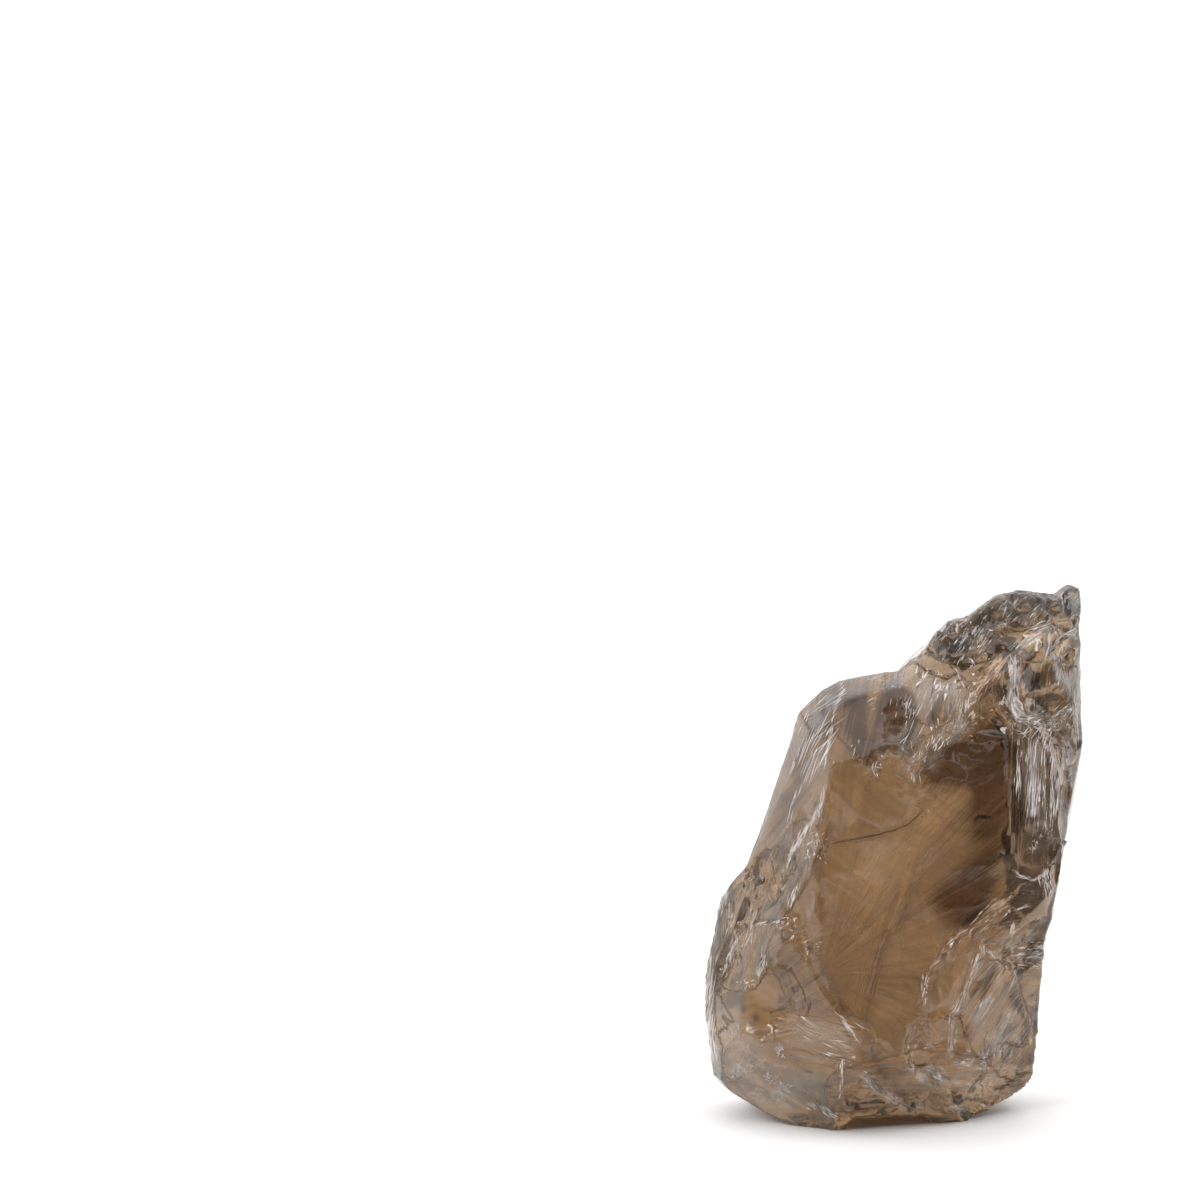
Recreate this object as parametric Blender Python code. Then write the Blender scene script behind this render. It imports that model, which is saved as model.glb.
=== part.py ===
"""A rough piece of smoky quartz, broken out of clear brown crystal and standing on its broken foot.

Metres, +Z up. The stone is seen from the front along +Y, so -Y faces the viewer. Its origin is on the
surface it stands on, under the middle of its width and depth.

The stone is made the way it was broken. A rough block with the outline of the front view is struck by
flakes. Each flake takes away all that lies outside one fracture surface, which is a shallow dish with ripples
that spread from the point where the blow fell. Large flakes leave the faces of the stone, then small ones
leave cups and chips where a line through the front or the back view meets those faces.
"""

import math
import random
from typing import NamedTuple

import bmesh
import bpy
from mathutils import Matrix, Vector, noise
from mathutils.bvhtree import BVHTree

MM = 0.001

# The rough block, in millimetres. It is widest at the girdle and narrows to the front and to the back.
BLOCK_DEPTH = 32.0
GIRDLE_Y = -1.5
SIDE_TAPER = 0.20
TOP_TAPER = 0.09
BACK_ROUGHNESS = 2.2
BACK_WAVES_PER_MM = 0.09

# Cutters reach this far past the stone
FACE_SPREAD = 70.0
CAP_HEIGHT = 40.0
OUTSIDE = 60.0

# The share of the stone that a blow leaves. Measured volumes differ a little from one cut to the next.
SMALLEST_REST = 0.6
LARGEST_REST = 1.001

CUP_RIPPLE = 0.02
CUP_SPOKES = 14

CHIP_SEED = 7
CHIP_TILT = 17
CHIP_HOLLOW = 0.24

STONE_COLOUR = (0.30, 0.19, 0.11, 1.0)
STONE_ROUGHNESS = 0.08
QUARTZ_IOR = 1.544

# The front view's outline in millimetres, X to the right and Z up, clockwise from the top lump
OUTLINE = [
    (20.2, 64.0), (20.9, 64.4), (22.5, 63.8), (22.75, 61.4), (22.3, 59.2), (22.6, 57.0), (22.6, 53.9),
    (22.4, 48.6), (22.5, 45.8), (21.7, 40.6), (21.0, 36.1), (20.2, 32.2), (19.3, 28.6), (18.1, 22.8),
    (17.8, 18.4), (17.5, 13.9), (17.3, 10.0), (16.6, 5.0), (15.5, 3.2), (12.1, 1.1), (9.5, 0.0),
    (5.2, 0.0), (3.6, 1.3), (-0.7, 1.5), (-6.0, 1.7), (-6.6, 0.0), (-13.2, 0.0), (-16.7, 1.6),
    (-20.3, 3.7), (-21.4, 5.0), (-21.8, 8.2), (-22.4, 12.6), (-22.75, 17.0), (-22.2, 22.0), (-21.4, 25.9),
    (-19.6, 28.1), (-17.5, 30.4), (-16.2, 33.5), (-14.5, 38.8), (-12.7, 44.2), (-11.2, 49.0), (-8.6, 51.6),
    (-6.5, 52.8), (-2.5, 53.6), (0.6, 53.9), (2.9, 55.7), (4.7, 57.8), (6.0, 58.8), (6.4, 59.9),
    (9.0, 60.6), (10.0, 61.4), (12.1, 63.0), (14.9, 63.7), (17.0, 63.5), (19.3, 63.2),
]
NOTCH_HEIGHT = 2.0


class Flake(NamedTuple):
    """One fracture surface. Lengths are in millimetres and angles in degrees.

    centre is the bottom of the dish. facing is the way the surface looks out: its turn to the right of the
    viewer and its tilt upwards. The dish climbs by depth at reach along its long axis, which roll turns from
    the horizontal, and at width across it. The ripples spread from impact, a point along and across the dish.
    """

    name: str
    centre: tuple
    facing: tuple
    reach: float
    width: float
    depth: float
    roll: float = 0.0
    impact: tuple = (0.0, 0.0)
    ripple: float = 0.0
    spacing: float = 3.0
    spokes: int = 24


class Cup(NamedTuple):
    """A small flake, whose bottom lies sink under the stone's surface at x and z of the front view."""

    name: str
    spot: tuple
    sink: float
    facing: tuple
    reach: float
    width: float
    depth: float
    roll: float = 0.0
    impact: tuple = (0.0, 0.0)


class Zone(NamedTuple):
    """A part of the front view, between two corners, that carries small chips."""

    name: str
    low: tuple
    high: tuple
    count: int
    sizes: tuple
    sink: float


FRONT_FACES = [
    Flake("window", (-2.0, -11.8, 30.0), (5, 3), 26, 24, 1.5, 50, (34, 6), 0.04, 4.5, 30),
    Flake("trough", (8.0, -9.6, 31.0), (14, 0), 24, 12, 2.4, 56, (26, 0), 0.05, 3.8, 28),
    Flake("left_bevel", (-12.0, -6.7, 40.0), (-58, 10), 30, 24, 0.9, 40, (26, 10), 0.04, 4.0, 26),
    Flake("top_facet", (-2.0, -8.4, 49.0), (-6, 36), 13, 24, 2.4, 0, (-4, 12), 0.04, 3.2, 22),
    Flake("right_band", (18.5, -6.9, 38.0), (48, 4), 26, 30, 0.9, 90, (20, 0), 0.04, 3.6, 26),
    Flake("lower_middle", (13.0, -6.6, 10.0), (24, -4), 17, 9, 1.8, 115, (16, 0), 0.05, 3.2, 28),
    Flake("lower_right", (13.0, -4.9, 12.0), (40, -14), 18, 16, 1.0, 62, (18, 0), 0.05, 3.0, 26),
    Flake("lower_left", (-15.0, -9.8, 14.0), (-25, -4), 26, 22, 0.9, 90, (20, 4), 0.05, 3.8, 26),
    Flake("left_rim", (-21.6, -3.4, 16.0), (-64, 0), 26, 30, 0.4, 90, (18, 0), 0.04, 3.6, 18),
    Flake("bottom_left", (-14.0, -9.1, 6.4), (-30, -24), 20, 20, 0.5, 0, (-12, -8), 0.04, 3.4, 20),
    Flake("bottom_right", (8.0, -7.8, 3.6), (12, -38), 16, 14, 1.0, 0, (14, -5), 0.05, 2.8, 24),
]

BACK_FACES = [
    Flake("back_face", (0.0, 11.6, 30.0), (178, 3), 30, 24, 1.8, 70, (-32, 6), 0.06, 4.2, 32),
    Flake("back_left", (-17.0, 6.0, 24.0), (-128, 6), 28, 24, 1.4, 80, (22, 0), 0.06, 3.8, 24),
    Flake("back_right", (17.6, 5.6, 34.0), (132, 3), 28, 26, 1.4, 90, (24, 2), 0.06, 3.8, 24),
    Flake("back_top", (8.0, 5.4, 57.0), (172, 42), 18, 16, 1.2, 20, (12, 4), 0.06, 3.2, 22),
    Flake("back_shoulder", (-8.0, 6.6, 48.0), (-150, 32), 16, 14, 1.2, 40, (10, 2), 0.06, 3.2, 22),
    Flake("back_foot", (0.0, 9.6, 4.0), (184, -34), 24, 18, 0.8, 0, (16, -6), 0.06, 3.4, 24),
]

# The cups, grooves and pockets of the front
FRONT_CUPS = [
    Cup("groove", (10.6, 49.0), 1.7, (4, 14), 8.5, 3.9, 2.0, 71, (7, 0)),
    Cup("white_facet", (5.0, 48.8), 1.3, (16, 26), 5.8, 3.2, 1.3, 75, (6, 0)),
    Cup("dark_scallop", (0.0, 48.2), 0.8, (-8, 22), 4.6, 2.0, 0.9, 84, (4, 0)),
    Cup("crest_left", (6.6, 56.8), 0.9, (-34, 28), 4.6, 3.0, 1.0, 50, (4, 0)),
    Cup("crest_middle", (11.2, 59.6), 1.0, (-6, 34), 3.6, 2.8, 1.0, 10, (-3, 1)),
    Cup("crest_right", (16.2, 60.4), 1.2, (10, 20), 4.4, 3.0, 1.2, -6, (4, 1)),
    Cup("tall_cup", (17.2, 52.6), 1.7, (26, 2), 4.7, 3.4, 1.7, 80, (4, 1)),
    Cup("ring_cup", (20.4, 55.4), 0.8, (44, 8), 2.1, 1.5, 0.8, 60, (1, 0)),
    Cup("belt", (18.6, 46.6), 0.8, (40, -24), 3.8, 1.5, 0.8, 4, (-3, 0)),
    Cup("column_left", (16.8, 41.2), 0.7, (12, 4), 4.4, 1.2, 0.7, 84, (4, 0)),
    Cup("column_right", (19.6, 40.8), 0.6, (60, 0), 4.2, 1.2, 0.6, 82, (-4, 0)),
    Cup("round_cup", (16.8, 31.0), 0.9, (34, 2), 2.3, 2.3, 0.9, 0, (1, 1)),
    Cup("pocket", (15.4, 22.8), 1.3, (30, -26), 4.0, 2.9, 1.3, 30, (-3, 1)),
    Cup("pocket_lip", (15.6, 18.9), 0.5, (30, 18), 2.8, 1.1, 0.5, -8, (2, 0)),
    Cup("foot_hollow", (-1.0, 5.2), 1.3, (-14, -24), 4.6, 3.0, 1.3, 30, (4, 1)),
    Cup("ledge_cup", (6.0, 7.4), 0.8, (14, -34), 3.4, 1.6, 0.8, -10, (-3, 1)),
    Cup("corner_cup", (12.4, 5.0), 0.9, (30, -40), 3.8, 2.4, 0.9, 14, (3, 0)),
    Cup("shoulder_upper", (-15.2, 28.6), 1.0, (-50, 18), 3.6, 2.4, 1.0, 55, (3, 0)),
    Cup("shoulder_middle", (-17.6, 24.6), 0.9, (-40, 8), 3.2, 2.0, 0.9, 70, (3, 0)),
    Cup("shoulder_front", (-12.6, 25.4), 0.8, (-22, 6), 4.2, 1.8, 0.8, 66, (3, 0)),
    Cup("shoulder_edge", (-19.6, 20.6), 0.7, (-50, 0), 3.6, 1.5, 0.7, 78, (3, 0)),
    Cup("left_pit", (-15.8, 18.0), 0.6, (-30, -8), 2.8, 1.7, 0.6, 62, (2, 0)),
    Cup("frost_upper", (-18.0, 8.6), 0.4, (-38, -14), 4.2, 3.2, 0.4, 20, (3, 0)),
    Cup("frost_lower", (-13.0, 4.2), 0.4, (-24, -34), 3.6, 2.2, 0.4, -20, (3, 0)),
]

# The same on the side away from the viewer
BACK_CUPS = [
    Cup("back_scallop", (6.0, 41.0), 1.6, (168, 10), 9.0, 6.5, 1.6, 60, (8, 0)),
    Cup("back_hollow", (-8.0, 18.0), 1.6, (-166, -4), 9.0, 7.0, 1.6, -50, (8, 0)),
    Cup("back_side", (12.5, 17.0), 1.4, (146, -8), 6.5, 4.4, 1.4, 30, (5, 0)),
    Cup("back_crest", (14.0, 56.0), 1.0, (160, 26), 5.0, 3.6, 1.0, -30, (4, 0)),
    Cup("back_edge", (-12.0, 34.0), 1.0, (-136, 12), 6.0, 3.0, 1.0, 70, (5, 0)),
    Cup("back_middle", (-1.0, 30.0), 0.7, (182, 4), 6.0, 3.4, 0.7, 15, (5, 0)),
]

# Where the surface is crumbled. Sizes are the radii of the smallest and the largest chip.
FRONT_ZONES = [
    Zone("crest", (6.0, 56.0), (21.5, 62.5), 11, (1.6, 3.0), 0.35),
    Zone("belt", (15.0, 44.5), (21.5, 48.5), 5, (1.2, 2.0), 0.3),
    Zone("band", (15.5, 33.5), (20.5, 44.0), 5, (1.3, 2.2), 0.3),
    Zone("hackle", (2.5, 43.0), (7.0, 45.0), 2, (1.2, 1.8), 0.2),
    Zone("shoulder", (-20.5, 15.0), (-11.5, 32.0), 8, (1.2, 2.3), 0.3),
    Zone("ledges", (-3.5, 2.4), (15.0, 8.5), 11, (1.6, 3.0), 0.4),
]


def outward(facing):
    """The direction that a turn to the right and a tilt upwards stand for."""
    turn, tilt = (math.radians(angle) for angle in facing)
    return Vector((math.sin(turn) * math.cos(tilt), -math.cos(turn) * math.cos(tilt), math.sin(tilt)))


def frame_of(flake):
    """The matrix of a flake: x along the dish, y across it and z out of the stone."""
    out = outward(flake.facing)
    turn = math.radians(flake.facing[0])
    level = Vector((math.cos(turn), math.sin(turn), 0.0))
    upward = out.cross(level)
    roll = math.radians(flake.roll)
    along = level * math.cos(roll) + upward * math.sin(roll)
    across = out.cross(along)
    rotation = Matrix((along, across, out)).transposed().to_4x4()
    return Matrix.Translation(Vector(flake.centre) * MM) @ rotation


def surface_height(flake, u, v, ring):
    """The height of the fracture surface over the dish's bottom, at u along it and v across it."""
    dish = flake.depth * ((u / flake.reach) ** 2 + (v / flake.width) ** 2)
    return dish + flake.ripple * (1 if ring % 2 else -1)


def ring_radii(flake, outermost):
    """Radii of the ripples' crests and troughs, which lie further apart away from the blow."""
    radii = []
    step = flake.spacing / 2
    radius = step
    while radius < outermost:
        radii.append(radius)
        step *= 1.06
        radius += step
    return [*radii, outermost]


def flake_cutter(flake, spread):
    """A closed block whose lower side is the fracture surface. All of the stone inside it breaks away."""
    mesh = bmesh.new()
    du, dv = flake.impact
    hub = mesh.verts.new((du * MM, dv * MM, surface_height(flake, du, dv, 0) * MM))
    rings = []
    for number, radius in enumerate(ring_radii(flake, spread), start=1):
        ring = []
        for spoke in range(flake.spokes):
            angle = 2 * math.pi * (spoke + 0.5 * (number % 2)) / flake.spokes
            u = du + radius * math.cos(angle)
            v = dv + radius * math.sin(angle)
            ring.append(mesh.verts.new((u * MM, v * MM, surface_height(flake, u, v, number) * MM)))
        rings.append(ring)
    top = max(vertex.co.z for vertex in rings[-1]) + CAP_HEIGHT * MM
    lid = [mesh.verts.new((vertex.co.x, vertex.co.y, top)) for vertex in rings[-1]]
    for spoke in range(flake.spokes):
        following = (spoke + 1) % flake.spokes
        mesh.faces.new((hub, rings[0][following], rings[0][spoke]))
        for inner, outer in zip(rings, rings[1:]):
            mesh.faces.new((inner[spoke], inner[following], outer[following], outer[spoke]))
        mesh.faces.new((rings[-1][spoke], rings[-1][following], lid[following], lid[spoke]))
    mesh.faces.new(lid)
    bmesh.ops.recalc_face_normals(mesh, faces=mesh.faces)
    mesh.transform(frame_of(flake))
    return new_object("flake_" + flake.name, mesh)


def new_object(name, mesh):
    """An object that holds the bmesh, which it frees."""
    data = bpy.data.meshes.new(name)
    mesh.to_mesh(data)
    mesh.free()
    made = bpy.data.objects.new(name, data)
    bpy.context.scene.collection.objects.link(made)
    return made


def strike(stone, flake, spread):
    """Breaks one flake off the stone. A blow that would leave the stone in bits or open is left out."""
    cutter = flake_cutter(flake, spread)
    cut = stone.modifiers.new(cutter.name, "BOOLEAN")
    cut.operation = "DIFFERENCE"
    cut.solver = "EXACT"
    cut.object = cutter
    bpy.context.view_layer.update()
    struck = bmesh.new()
    struck.from_object(stone, bpy.context.evaluated_depsgraph_get())
    drop_shards(struck)
    stone.modifiers.remove(cut)
    bpy.data.objects.remove(cutter)
    if is_whole(struck, volume_of(stone)):
        struck.to_mesh(stone.data)
    else:
        print("left out:", flake.name)
    struck.free()


def drop_shards(mesh):
    """Keeps the largest piece of a broken mesh and lets the others fall."""
    unseen = set(mesh.verts)
    pieces = []
    while unseen:
        border = [unseen.pop()]
        piece = list(border)
        while border:
            near = {edge.other_vert(vertex) for vertex in border for edge in vertex.link_edges}
            border = list(near & unseen)
            unseen -= near
            piece += border
        pieces.append(piece)
    pieces.sort(key=len)
    for piece in pieces[:-1]:
        bmesh.ops.delete(mesh, geom=piece, context="VERTS")


def volume_of(stone):
    """The volume of the stone as it is now."""
    mesh = bmesh.new()
    mesh.from_mesh(stone.data)
    volume = mesh.calc_volume()
    mesh.free()
    return volume


def is_whole(mesh, volume_before):
    """Whether the mesh is closed and a blow took no more than a part of it."""
    closed = all(len(edge.link_faces) == 2 for edge in mesh.edges)
    volume = mesh.calc_volume()
    return closed and SMALLEST_REST < volume / volume_before < LARGEST_REST


def rough_block():
    """The outline of the front view at the girdle, drawn in towards the front and the back."""
    mesh = bmesh.new()
    front = [mesh.verts.new(drawn_in(point, -BLOCK_DEPTH / 2)) for point in OUTLINE]
    girdle = [mesh.verts.new((x * MM, GIRDLE_Y * MM, z * MM)) for x, z in OUTLINE]
    back = [mesh.verts.new(drawn_in(roughened(point), BLOCK_DEPTH / 2)) for point in OUTLINE]
    mesh.faces.new(front)
    mesh.faces.new(back)
    for near, far in ((front, girdle), (girdle, back)):
        for number in range(len(OUTLINE)):
            following = (number + 1) % len(OUTLINE)
            mesh.faces.new((near[number], near[following], far[following]))
            mesh.faces.new((near[number], far[following], far[number]))
    bmesh.ops.recalc_face_normals(mesh, faces=mesh.faces)
    return new_object("smoky_quartz", mesh)


def drawn_in(point, depth):
    """A point of the outline, moved in from the sides and the top, at the end of the block."""
    x, z = point
    return (x * (1 - SIDE_TAPER) * MM, depth * MM, z * (1 - TOP_TAPER) * MM)


def roughened(point):
    """A point of the outline, moved a little where it lies over the foot. The foot is whole at the back."""
    x, z = point
    if z < NOTCH_HEIGHT:
        return (x, 0.0)
    shift = noise.noise_vector(Vector((x, z, 0.0)) * BACK_WAVES_PER_MM) * BACK_ROUGHNESS
    return (x + shift.x, z + shift.z)


def surface_of(stone):
    """The stone's present surface, for finding the place of a cup or a chip."""
    mesh = bmesh.new()
    mesh.from_mesh(stone.data)
    surface = BVHTree.FromBMesh(mesh)
    mesh.free()
    return surface


def meeting_point(surface, spot, side):
    """Where the line through a spot of the front view meets the stone, from the front (-1) or the back (1)."""
    start = Vector((spot[0], side * OUTSIDE, spot[1])) * MM
    return surface.ray_cast(start, Vector((0.0, -side, 0.0)))[:2]


def cup_flake(cup, surface, side):
    """The flake that leaves the cup."""
    point, _ = meeting_point(surface, cup.spot, side)
    centre = point / MM - outward(cup.facing) * cup.sink
    spacing = max(1.5, cup.width / 1.7)
    return Flake(*cup[:1], tuple(centre), *cup[3:], CUP_RIPPLE, spacing, CUP_SPOKES)


def chips_of(zone, surface, rng):
    """Small flakes at random spots of a zone. Each faces nearly as the surface does where it lies."""
    chips = []
    while len(chips) < zone.count:
        spot = tuple(rng.uniform(low, high) for low, high in zip(zone.low, zone.high))
        point, normal = meeting_point(surface, spot, -1)
        if point is None or normal.y > -0.3:
            continue
        turn = math.degrees(math.atan2(normal.x, -normal.y)) + rng.uniform(-CHIP_TILT, CHIP_TILT)
        tilt = math.degrees(math.asin(normal.z)) + rng.uniform(-CHIP_TILT, CHIP_TILT)
        size = rng.uniform(*zone.sizes)
        sink = zone.sink * rng.uniform(0.6, 1.2)
        centre = point / MM - outward((turn, tilt)) * sink
        name = f"{zone.name}_{len(chips)}"
        dish = size * CHIP_HOLLOW
        roll = rng.uniform(0, 180)
        chips.append(Flake(name, tuple(centre), (turn, tilt), size * 1.3, size, dish, roll, (0, 0), 0, 1.8, 8))
    return chips


def centre_over_origin(stone):
    """Moves the stone until the middle of its width and depth is over the origin."""
    corners = [vertex.co for vertex in stone.data.vertices]
    middle = [(min(c[axis] for c in corners) + max(c[axis] for c in corners)) / 2 for axis in (0, 1)]
    stone.data.transform(Matrix.Translation((-middle[0], -middle[1], 0.0)))


def quartz_material():
    """Clear brown quartz."""
    material = bpy.data.materials.new("smoky_quartz")
    material.use_nodes = True
    shader = material.node_tree.nodes["Principled BSDF"]
    shader.inputs["Base Color"].default_value = STONE_COLOUR
    shader.inputs["Roughness"].default_value = STONE_ROUGHNESS
    shader.inputs["Metallic"].default_value = 0.0
    shader.inputs["IOR"].default_value = QUARTZ_IOR
    shader.inputs["Transmission Weight"].default_value = 1.0
    return material


def clear_scene():
    for obj in list(bpy.data.objects):
        bpy.data.objects.remove(obj)


def main():
    clear_scene()
    stone = rough_block()
    for flake in [*FRONT_FACES, *BACK_FACES]:
        strike(stone, flake, FACE_SPREAD)
    surface = surface_of(stone)
    cups = [cup_flake(cup, surface, -1) for cup in FRONT_CUPS]
    cups += [cup_flake(cup, surface, 1) for cup in BACK_CUPS]
    for flake in cups:
        strike(stone, flake, math.hypot(*flake.impact) + 2.4 * flake.reach)
    surface = surface_of(stone)
    rng = random.Random(CHIP_SEED)
    for zone in FRONT_ZONES:
        for flake in chips_of(zone, surface, rng):
            strike(stone, flake, 2.4 * flake.reach)
    centre_over_origin(stone)
    stone.data.materials.append(quartz_material())


main()
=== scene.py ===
# %% [markdown]
# # A rough smoky quartz crystal
# The stone is one piece of clear brown quartz, broken on all sides. Quartz has no flat cleavage, so it
# breaks like thick glass: in hollow faces with ripples that spread from the blow, and in small crumbled
# steps where the crack ran out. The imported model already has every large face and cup. This lesson gives
# it the fine relief, a smoky body, the white splinters along its edges, the fibres that hang inside it,
# and a plain studio.

import math
from functools import partial

import bmesh
import bpy
import numpy as np
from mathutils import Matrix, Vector
from mathutils.bvhtree import BVHTree
from mathutils.kdtree import KDTree


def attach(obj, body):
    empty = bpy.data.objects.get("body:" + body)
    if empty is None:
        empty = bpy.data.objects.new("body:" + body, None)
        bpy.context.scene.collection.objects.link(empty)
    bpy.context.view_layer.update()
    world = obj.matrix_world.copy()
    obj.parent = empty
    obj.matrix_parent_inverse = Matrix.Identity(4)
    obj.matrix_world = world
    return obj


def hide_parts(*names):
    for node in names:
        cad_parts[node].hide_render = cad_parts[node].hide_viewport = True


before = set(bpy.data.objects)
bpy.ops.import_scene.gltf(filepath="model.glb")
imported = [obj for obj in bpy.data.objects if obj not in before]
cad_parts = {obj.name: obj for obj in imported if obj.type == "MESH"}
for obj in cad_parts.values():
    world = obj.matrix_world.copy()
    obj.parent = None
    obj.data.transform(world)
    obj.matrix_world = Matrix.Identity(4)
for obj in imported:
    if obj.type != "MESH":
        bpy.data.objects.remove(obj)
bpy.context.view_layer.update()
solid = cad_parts["smoky_quartz"]
MM = 0.001

# %% [markdown]
# ## The stone's skin
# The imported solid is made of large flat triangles. Fine relief needs many small faces of one size, so a
# copy is merged into one closed skin and rebuilt on a regular grid of small voxels. The voxels also take
# the knife edge off each ridge, as handling does on a real stone.

# %% Rebuild the solid as a fine skin
VOXEL = 0.31 * MM


def evaluated_copy(source, name):
    """The mesh of an object with its modifiers applied, under a new name."""
    bpy.context.view_layer.update()
    shaped = source.evaluated_get(bpy.context.evaluated_depsgraph_get())
    mesh = bpy.data.meshes.new_from_object(shaped)
    mesh.name = name
    return mesh


def add_object(name, mesh):
    """A new object that holds the mesh, at the origin."""
    made = bpy.data.objects.new(name, mesh)
    bpy.context.scene.collection.objects.link(made)
    return made


def merged_solid():
    """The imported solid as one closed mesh, because it comes as loose triangles."""
    mesh = bmesh.new()
    mesh.from_mesh(solid.data)
    bmesh.ops.remove_doubles(mesh, verts=mesh.verts, dist=1e-6)
    data = bpy.data.meshes.new("merged_solid")
    mesh.to_mesh(data)
    mesh.free()
    return data


stone = add_object("smoky_quartz_stone", merged_solid())
ridge_source = stone.data.copy()
rebuild = stone.modifiers.new("voxels", "REMESH")
rebuild.mode = "VOXEL"
rebuild.voxel_size = VOXEL
stone.data = evaluated_copy(stone, "smoky_quartz_stone")
stone.modifiers.clear()
print("skin vertices:", len(stone.data.vertices), "faces:", len(stone.data.polygons))

# %% [markdown]
# ## Patterns for the relief
# Broken quartz shows four kinds of relief. Soft waves bend the large faces, ribs run along the way the
# crack went, broken steps stand where it jumped, and crumbled places are made of tiny flat facets, each
# tilted its own way. Each kind is a function that gives a height for every point, in millimetres. They
# could be displacement textures, but as plain arithmetic they can be aimed at single faces and measured.


# %% Waves, steps and tiny facets
def hashed(cells, seed):
    """A steady random number from 0 to 1 for each whole-number cell."""
    mixed = cells @ np.array([127.1, 311.7, 74.7]) + seed * 17.31
    return np.modf(np.abs(np.sin(mixed) * 43758.5453))[0]


def waves(points, size, seed):
    """Smooth noise from -1 to 1, with features of that size."""
    scaled = points / size
    cell = np.floor(scaled)
    part = scaled - cell
    part = part * part * (3 - 2 * part)
    total = np.zeros(len(points))
    for corner in np.ndindex(2, 2, 2):
        corner = np.array(corner)
        weight = np.prod(np.where(corner, part, 1 - part), axis=1)
        total += weight * hashed(cell + corner, seed)
    return total * 2 - 1


def smooth_step(low, high, value):
    """0 below low, 1 above high, and a soft ramp between."""
    part = np.clip((value - low) / (high - low), 0, 1)
    return part * part * (3 - 2 * part)


def broken_steps(points, size, drop, seed):
    """Heights of broken steps: smooth noise cut into levels, each one a drop above the next."""
    level = 2.4 * waves(points, size, seed) + 1.2 * waves(points, size * 0.45, seed + 1)
    base = np.floor(level)
    return drop * (base + smooth_step(0.3, 0.7, level - base))


def facets(points, size, tilt, step, seed):
    """Heights of tiny flat facets of that size: each has its own tilt and stands a step up or down."""
    scaled = points / size
    home = np.floor(scaled)
    nearest = np.full(len(points), np.inf)
    height = np.zeros(len(points))
    for shift in np.ndindex(3, 3, 3):
        cell = home + np.array(shift) - 1
        spot = cell + np.column_stack([hashed(cell, seed + axis) for axis in range(3)])
        away = scaled - spot
        distance = (away**2).sum(axis=1)
        lean = np.column_stack([hashed(cell, seed + 5 + axis) - 0.5 for axis in range(3)])
        plane = (away * lean).sum(axis=1) * 2 * tilt * size
        level = (hashed(cell, seed + 11) - 0.5) * 2 * step
        closer = distance < nearest
        nearest = np.where(closer, distance, nearest)
        height = np.where(closer, plane + level, height)
    return height


print("patterns ready")

# %% [markdown]
# ## Two edges that are moved
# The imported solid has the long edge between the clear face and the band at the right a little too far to
# the left, and the outline below the band a little too far in. Both are moved here, before anything is laid
# on the skin. The shifts fade out over several millimetres, so the faces beside them stay smooth.

# %% Move two edges
BAND_EDGE = 13.1
BAND_SHIFT = 2.7
BAND_REACH = (0.6, 7.4)
OUTLINE_START = (8.5, 15.0)
OUTLINE_HEIGHTS = [0.0, 4.0, 6.6, 9.3, 15.0, 20.0, 23.0, 24.8, 27.0, 30.0, 45.0, 50.0]
OUTLINE_SHIFTS = [0.2, 1.0, 0.9, 0.7, 0.4, 0.5, 0.9, 1.2, 0.8, 0.4, 0.4, 0.0]

count = len(stone.data.vertices)


def read_points(name):
    """One vector for each point of the skin."""
    values = np.zeros(count * 3)
    stone.data.vertices.foreach_get(name, values)
    return values.reshape(-1, 3)


place = read_points("co") / MM
looks = read_points("normal")
near_edge = 1 - smooth_step(*BAND_REACH, np.abs(place[:, 0] - BAND_EDGE))
at_height = smooth_step(25, 31, place[:, 2]) * (1 - smooth_step(46, 50, place[:, 2]))
place[:, 0] += BAND_SHIFT * near_edge * at_height * smooth_step(-2.0, 3.0, -place[:, 1])
outline_shift = np.interp(place[:, 2], OUTLINE_HEIGHTS, OUTLINE_SHIFTS)
place[:, 0] += smooth_step(*OUTLINE_START, place[:, 0]) * outline_shift
print("widest shift of the outline in mm:", max(OUTLINE_SHIFTS))

# %% [markdown]
# ## Where each kind of relief lies
# Places are written as lines in the front view, each with a width, because that is the side that the
# crumbled ridges, steps and ripples are known from. The front view is the camera's own, so each point of
# the skin is followed along the line of sight to a plane through the stone. A whole face is picked out by
# the way it looks, since all of its points share nearly the same normal.

# %% Masks on the skin
VIEW_CENTRE = np.array([-35.2, 0.0, 62.4])
VIEW_DISTANCE = 400.0
VIEW_TILT = math.radians(4.0)
VIEW_AHEAD = np.array([0.0, math.cos(VIEW_TILT), -math.sin(VIEW_TILT)])
VIEW_UP = np.array([0.0, math.sin(VIEW_TILT), math.cos(VIEW_TILT)])
VIEW_SPOT = VIEW_CENTRE - VIEW_AHEAD * VIEW_DISTANCE
RIDGE_ANGLE = math.radians(26)
RIDGE_STEP = 0.4


def in_front_view(points):
    """Where points lie in the front view: millimetres across and up on a plane through the stone."""
    away = points - VIEW_SPOT
    scale = VIEW_DISTANCE / (away @ VIEW_AHEAD)
    return VIEW_CENTRE[0] + away[:, 0] * scale, VIEW_CENTRE[2] + (away @ VIEW_UP) * scale


x, z = in_front_view(place)
front = smooth_step(0.12, 0.32, -looks[:, 1])
back = smooth_step(0.05, 0.35, looks[:, 1])


def facing(turn, tilt, spread):
    """1 where the skin looks that far to the right and up, down to 0 at spread degrees from there."""
    turn, tilt = math.radians(turn), math.radians(tilt)
    outward = np.array([math.sin(turn) * math.cos(tilt), -math.cos(turn) * math.cos(tilt), math.sin(tilt)])
    angle = np.degrees(np.arccos(np.clip(looks @ outward, -1, 1)))
    return 1 - smooth_step(spread * 0.6, spread, angle)


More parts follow.
